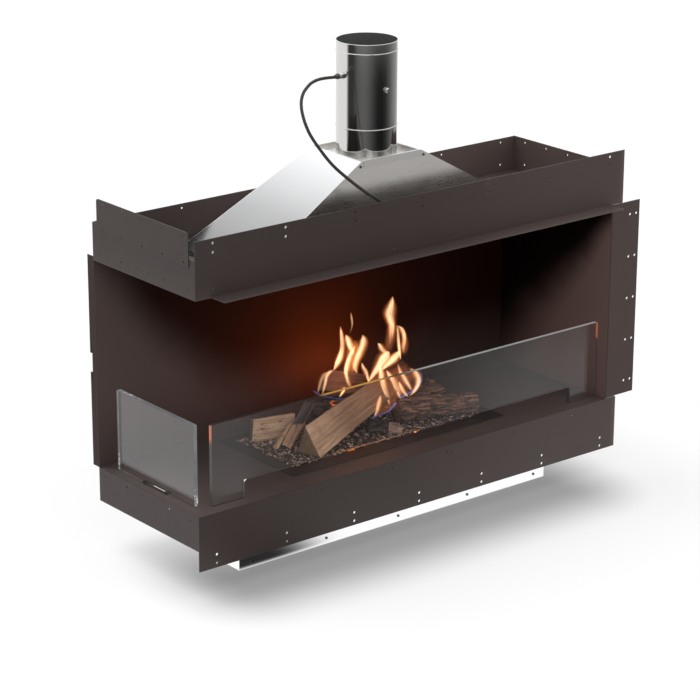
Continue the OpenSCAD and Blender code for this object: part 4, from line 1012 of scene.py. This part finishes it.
# Each flame: its shells, depth y, how far its bright core leans to one side, and points
# (x, z, half width, light) in millimetres and per cent, from its tip to its foot
FLAMES = {
    "tall_right": (TONGUE, 22, 0, [(119, 529, 1.3, 70), (117, 518, 5.6, 90), (113, 501, 11.2, 95),
        (109, 486, 13, 100), (113, 469, 11.2, 95), (117, 454, 9.1, 75), (117, 437, 7.8, 50),
        (115, 421, 6.5, 30), (112, 405, 4.3, 20)]),
    "right_inner": (TONGUE, 10, 0, [(124, 455, 1.3, 60), (128, 433, 3.5, 90), (130, 409, 3.9, 90),
        (134, 384, 3.9, 90), (137, 360, 1.3, 90)]),
    "right_outer": (TONGUE, 16, 0.5, [(132, 450, 1.7, 50), (143, 440, 5.2, 90), (151, 425, 5.6, 90),
        (153, 407, 5.6, 60), (150, 389, 5.2, 45), (150, 374, 3.5, 25)]),
    "curl": (TONGUE, 4, -0.3, [(57, 422, 1.3, 90), (64, 415, 6, 90), (71, 404, 8.2, 70),
        (80, 395, 6.9, 70), (92, 389, 2.2, 90)]),
    "body_right": (TONGUE, -6, 0, [(86, 396, 2.6, 100), (78, 390, 10.4, 115), (69, 381, 13.8, 125),
        (59, 370, 13, 125), (48, 359, 10.4, 120), (36, 348, 6.9, 120), (26, 338, 4.3, 120),
        (15, 329, 1.3, 110)]),
    "body_right_top": (TONGUE, -2, 0, [(123, 390, 1.7, 110), (116, 381, 7.3, 130),
        (104, 372, 10.4, 130), (91, 364, 8.6, 110), (75, 356, 5.6, 80), (65, 350, 2.6, 60)]),
    "left_one": (TONGUE, 80, -0.4, [(-4, 459, 1.3, 40), (-1, 442, 4.3, 90), (3, 417, 5.6, 90),
        (2, 396, 6, 100), (-5, 375, 7.8, 125), (-14, 361, 6.5, 135), (-25, 347, 1.7, 120)]),
    "left_two": (TONGUE, 76, -0.2, [(11, 435, 1.7, 80), (17, 422, 7.8, 120), (23, 406, 8.6, 120),
        (30, 391, 6.9, 85), (35, 377, 3.9, 50)]),
    "left_two_low": (TONGUE, 74, -0.3, [(39, 399, 1.7, 90), (29, 385, 5.6, 110),
        (19, 367, 6.5, 120), (12, 349, 6.5, 130), (10, 333, 5.2, 110), (15, 313, 4.8, 75),
        (21, 297, 4.8, 60), (29, 280, 3, 50), (36, 267, 1.3, 40)]),
    "left_three": (TONGUE, 72, -0.5, [(63, 425, 1.7, 70), (67, 412, 7.8, 100), (63, 396, 9.5, 95),
        (54, 380, 9.1, 100), (44, 362, 7.8, 110), (39, 344, 6, 110), (45, 326, 2.2, 100)]),
    "left_four": (TONGUE, 66, 0.4, [(55, 353, 1.3, 70), (59, 341, 4.3, 70), (67, 328, 5.6, 70),
        (73, 312, 4.8, 80), (78, 296, 1.7, 80)]),
    "wisp": (TONGUE, 70, 0, [(22, 494, 0.9, 30), (24, 480, 2.6, 45), (26, 465, 2.6, 40),
        (24, 451, 1.3, 20), (17, 438, 0.4, 10)]),
    "streak_a": (TONGUE, 70, 0, [(-35, 351, 1.7, 90), (-47, 348, 4.3, 80), (-57, 339, 4.8, 80),
        (-61, 323, 4.8, 60), (-66, 307, 3.5, 40), (-71, 294, 1.3, 30)]),
    "streak_a_outer": (TONGUE, 72, 0, [(-46, 349, 2.2, 20), (-62, 346, 4.8, 25),
        (-73, 331, 5.6, 25), (-80, 313, 4.3, 20), (-84, 300, 1.7, 15)]),
    "streak_b": (TONGUE, 64, 0, [(-2, 300, 1.3, 90), (-8, 294, 3.9, 90), (-15, 287, 3.5, 90),
        (-23, 279, 1.3, 70)]),
    "face_a": (TONGUE, -16, -0.4, [(51, 368, 4.8, 70), (53, 346, 8.2, 75), (56, 321, 7.8, 75),
        (64, 298, 6.5, 65), (72, 277, 4.8, 55), (77, 259, 1.7, 45)]),
    "face_b": (TONGUE, -10, -0.4, [(75, 349, 2.6, 60), (90, 327, 7.3, 75), (103, 304, 8.2, 75),
        (112, 283, 6.9, 70), (117, 265, 2.2, 50)]),
    "face_c": (TONGUE, -4, 0, [(117, 355, 1.7, 40), (126, 332, 5.2, 55), (138, 310, 6.9, 65),
        (151, 290, 6, 60), (160, 276, 2.2, 45)]),
    "face_d": (TONGUE, -8, 0, [(114, 311, 1.3, 60), (123, 292, 5.2, 80), (134, 275, 4.8, 80),
        (145, 263, 1.7, 70)]),
    "face_e": (TONGUE, 2, 0.3, [(164, 331, 3, 50), (177, 318, 8.6, 80), (186, 302, 8.6, 80),
        (185, 285, 7.3, 75), (174, 270, 5.2, 60), (159, 260, 1.7, 45)]),
    "face_f": (TONGUE, -40, 0, [(27, 303, 1.7, 60), (23, 287, 5.6, 70), (19, 273, 5.6, 70),
        (13, 258, 3.9, 60), (7, 250, 1.3, 50)]),
    "veil_left_up": (VEIL, 78, 0, [(45, 413, 5.2, 60), (41, 397, 17.3, 120), (37, 382, 21.6, 135),
        (32, 361, 20.7, 135), (31, 339, 19, 110), (33, 322, 12.1, 50)]),
    "veil_left_low": (VEIL, 62, 0, [(6, 344, 17.3, 12), (-5, 332, 36.7, 16), (-20, 316, 45.4, 17),
        (-29, 299, 43.2, 15), (-29, 284, 30.2, 12)]),
    "veil_right_up": (VEIL, 24, 0, [(118, 465, 6, 40), (118, 444, 13, 80), (116, 423, 14.7, 70),
        (112, 404, 13.8, 50), (110, 385, 10.4, 30)]),
    "veil_right_side": (VEIL, 18, 0, [(152, 434, 3.5, 30), (158, 411, 8.6, 50),
        (159, 386, 11.2, 40), (154, 366, 7.8, 25)]),
    "veil_right_low": (VEIL, -20, 0, [(109, 356, 19.4, 15), (113, 339, 38.9, 26),
        (107, 316, 46.7, 30), (95, 294, 43.2, 32), (75, 275, 32.4, 34), (51, 256, 19.4, 34),
        (34, 241, 8.6, 25)]),
    "blue_left": (BLUE, 60, 0, [(-108, 317, 1.3, 50), (-102, 310, 2.2, 65), (-88, 301, 2.2, 70),
        (-65, 290, 2.2, 55), (-45, 282, 2.2, 65), (-18, 274, 2.2, 60), (2, 273, 1.7, 40)]),
    "blue_right": (BLUE, -30, 0, [(8, 240, 1.7, 70), (23, 245, 2.6, 90), (43, 246, 2.6, 80),
        (64, 250, 2.6, 80), (81, 262, 2.6, 100), (102, 275, 2.6, 90), (126, 282, 2.6, 70),
        (147, 288, 2.6, 70), (163, 302, 2.6, 90), (170, 319, 2.2, 80), (167, 334, 1.7, 50)]),
}


def make_flame(name, shells, y, lean, points):
    rows = [(x * MM, y * MM, z * MM, r * MM, light / 100) for x, z, r, light in points]
    path = spline(rows, FLAME_STEPS)
    line, radius = path[:, :3], np.maximum(path[:, 3], 0.3 * MM)
    lights = np.maximum(path[:, 4], 0.05)
    heading = headings(line)
    rings = len(line)
    depth = VEIL_DEPTH if shells is VEIL else TONGUE_DEPTH
    height = abs(points[0][1] - points[-1][1])
    verts, faces, heats, fades, grains = [], [], [], [], []
    for s, (share, heat, light) in enumerate(shells):
        faces += tube_faces(rings, FLAME_SIDES, len(verts))
        heats += [heat] * (rings * FLAME_SIDES)
        # Each shell is faintest where its sides turn away, so that its outline is soft
        softness = 1.0 if share > 0.9 or shells is VEIL else 0.5
        for i in range(rings):
            along = i / (rings - 1)
            h = Vector(heading[i])
            wide = (WIDE - h * WIDE.dot(h)).normalized()
            thin = h.cross(wide)
            ends = min(1.0, 0.3 + along * 5) * min(1.0, 0.3 + (1 - along) * 4)
            middle = Vector(line[i]) + wide * (lean * radius[i] * max(0.0, 1.2 - share))
            r = radius[i] * share
            for k in range(FLAME_SIDES):
                turn = 2 * math.pi * k / FLAME_SIDES
                c, d = math.cos(turn), math.sin(turn)
                verts.append(middle + wide * (r * c) + thin * (depth * r * d))
                fades.append(light * lights[i] * ends * abs(d) ** softness)
                across = c * radius.max() / MM / STREAK_WIDTH
                grains.append((across, along * height / STREAK_LENGTH, s * 0.15 + y * 0.1))
    piece = add_object(
        "flame_" + name, verts, faces, "burner", [FLAME], warmth=heats, fade=fades,
        blue=[0.9 if shells is BLUE else 0.0] * len(verts), grain=grains,
    )
    piece.visible_shadow = False


# A ray passes every shell of the flames that it crosses
bpy.context.scene.cycles.transparent_max_bounces = 64
for name, (shells, y, lean, points) in FLAMES.items():
    make_flame(name, shells, y, lean, points)


# ---- Floor, world and lights ----
# How bright the floor in front is painted for the front pane to mirror, from its left end (0) to
# its right end (1)
PANE_HAZE = [
    (0.0, 0.60), (0.03, 0.56), (0.08, 0.36), (0.16, 0.26), (0.24, 0.18), (0.32, 0.12),
    (0.40, 0.14), (0.48, 0.18), (0.59, 0.28), (0.66, 0.37), (0.76, 0.55), (0.88, 0.67),
]
# How bright the far end of the studio in front is to metal
FRONT_HAZE = 0.48
# The middle and the half sizes of the ground that the painted shadow darkens most, how far it takes
# to fade, and how much light the floor adds there and beyond
PAINTED_SHADOW_MIDDLE = (-0.035, -0.227)
PAINTED_SHADOW_X, PAINTED_SHADOW_Y, PAINTED_SHADOW_REACH = 0.50, 0.02, 0.261
LIFT_NEAR, LIFT_FAR = 0.186, 0.71
# The casing's middle and half depth
CASING_Y, CASING_HALF = -0.0235, 0.2075
FLOOR_REACH, FLOOR_DROP = 30, 0.6 * MM
# How far out the painted bright pool round the object ends, and the far end of the front begins
POOL_EDGE, FAR_FRONT = (1.3, 2.3), (5.0, 8.0)


def floor_paint(mat):
    """The floor is white to the camera but for the object's soft shadow, mostly in front, which is
    painted over a faint real one. Metal and glass see a painted reflection: a bright pool round the
    object, dark at its front left."""
    g = Graph(mat.node_tree, "ShaderNodeNewGeometry", "Position", "ShaderNodeEmission")
    x, y = g.x, g.y
    # The camera sees only a small share of the real shadow
    soft = g.add("ShaderNodeBsdfDiffuse", {"Color": g.between(g.ray("Camera"), 0.0, 1.0, 0.8, 0.3)})
    # Painted shadow: the floor adds less light near the object, most of all in front of it
    out_x = g.math("MAXIMUM", abs(x - PAINTED_SHADOW_MIDDLE[0]) - PAINTED_SHADOW_X, 0.0)
    off_y = y - PAINTED_SHADOW_MIDDLE[1]
    out_y = g.math("MAXIMUM", abs(off_y) - PAINTED_SHADOW_Y, 0.0) * g.between(off_y, -0.02, 0.02, 1.0, 0.58)
    out = g.math("SQRT", out_x * out_x + out_y * out_y)
    lift = g.between(out, 0.0, PAINTED_SHADOW_REACH, LIFT_NEAR, LIFT_FAR)
    plain = g.add("ShaderNodeAddShader", {0: soft, 1: g.emit(g.seen() * lift)})
    # Painted reflection for metal and glass
    away = g.math("SQRT", x * x + y * y)
    dark = g.between(x, -0.11, -0.40) * g.between(x, -0.52, -0.50) * g.between(y, -0.14, -0.17)
    off = abs(y - CASING_Y) - CASING_HALF
    off = g.between(off, 0.12, 0.46) * g.between(y, -0.1, -0.3)
    # Along the lines that the front pane mirrors from one place of its length
    along = x + y * 0.81 + 0.16
    haze = g.ramp((along + 0.6) / 1.25, PANE_HAZE)
    fading = (1.0 - off) * 1.08 + off * haze
    near = g.emit(g.between(dark, 0.0, 1.0, 1.0, 0.02) * fading)
    in_front = g.between(away, *FAR_FRONT) * g.between(y, -0.5, -2.0)
    far = g.blend(in_front, g.emit(1.0, g.studio()), g.emit(FRONT_HAZE))
    mirrored = g.blend(g.between(away, *POOL_EDGE, 1.0, 0.0), far, near)
    g.end("ShaderNodeOutputMaterial", g.blend(g.ray("Glossy"), plain, mirrored))


def make_floor():
    r = FLOOR_REACH
    mesh = bpy.data.meshes.new("floor")
    mesh.from_pydata([(-r, -r, 0), (r, -r, 0), (r, r, 0), (-r, r, 0)], [], [(0, 1, 2, 3)])
    floor = placed("floor", mesh)
    floor.location.z = -FLOOR_DROP
    mat = bpy.data.materials.new("floor_pale")
    mat.use_nodes = True
    mat.node_tree.nodes.clear()
    mesh.materials.append(mat)
    floor_paint(mat)


# A broad lamp overhead, a little behind and to the left, and a faint one in front: the way
# to each, how far off it the light starts, and how bright it is
LAMPS = [((-0.25, 0.4, 1.0), 0.925, 6.0), ((-0.12, -0.8, 0.5), 0.2, 0.6)]
AMBIENT = 0.5
SKY = 1.25


def make_world():
    world = bpy.data.worlds.new("studio")
    bpy.context.scene.world = world
    world.use_nodes = True
    world.node_tree.nodes.clear()
    g = Graph(world.node_tree, "ShaderNodeTexCoord", "Generated", "ShaderNodeBackground")
    light = AMBIENT
    for way, start, strength in LAMPS:
        a, b, c = Vector(way).normalized()
        light = g.between(g.x * a + g.y * b + g.z * c, start, 1.0) * strength + light
    # Reflections: the studio's walls near the horizon, and white above
    wall = g.emit(1.0, g.studio())
    mirrored = g.blend(g.between(g.z, 0.05, 0.35), wall, g.emit(SKY))
    front = g.between(g.y, -0.3, -0.6) * g.between(g.z, -0.2, -0.1)
    mirrored = g.blend(front, mirrored, g.emit(FRONT_HAZE))
    lit = g.blend(g.ray("Glossy"), g.emit(light), mirrored)
    g.end("ShaderNodeOutputWorld", g.blend(g.seen(), lit, g.emit(1.0)))


FIRE_PLACE = (0.03, 0.02, 0.43)


def make_fire_light():
    data = bpy.data.lights.new("fire_glow", "POINT")
    data.energy = 0.24
    data.specular_factor = 0.2
    data.color = (1.0, 0.2, 0.015)
    data.shadow_soft_size = 0.06
    placed("fire_glow", data).location = FIRE_PLACE


make_floor()
make_world()
make_fire_light()

bpy.context.scene.view_settings.view_transform = "Standard"
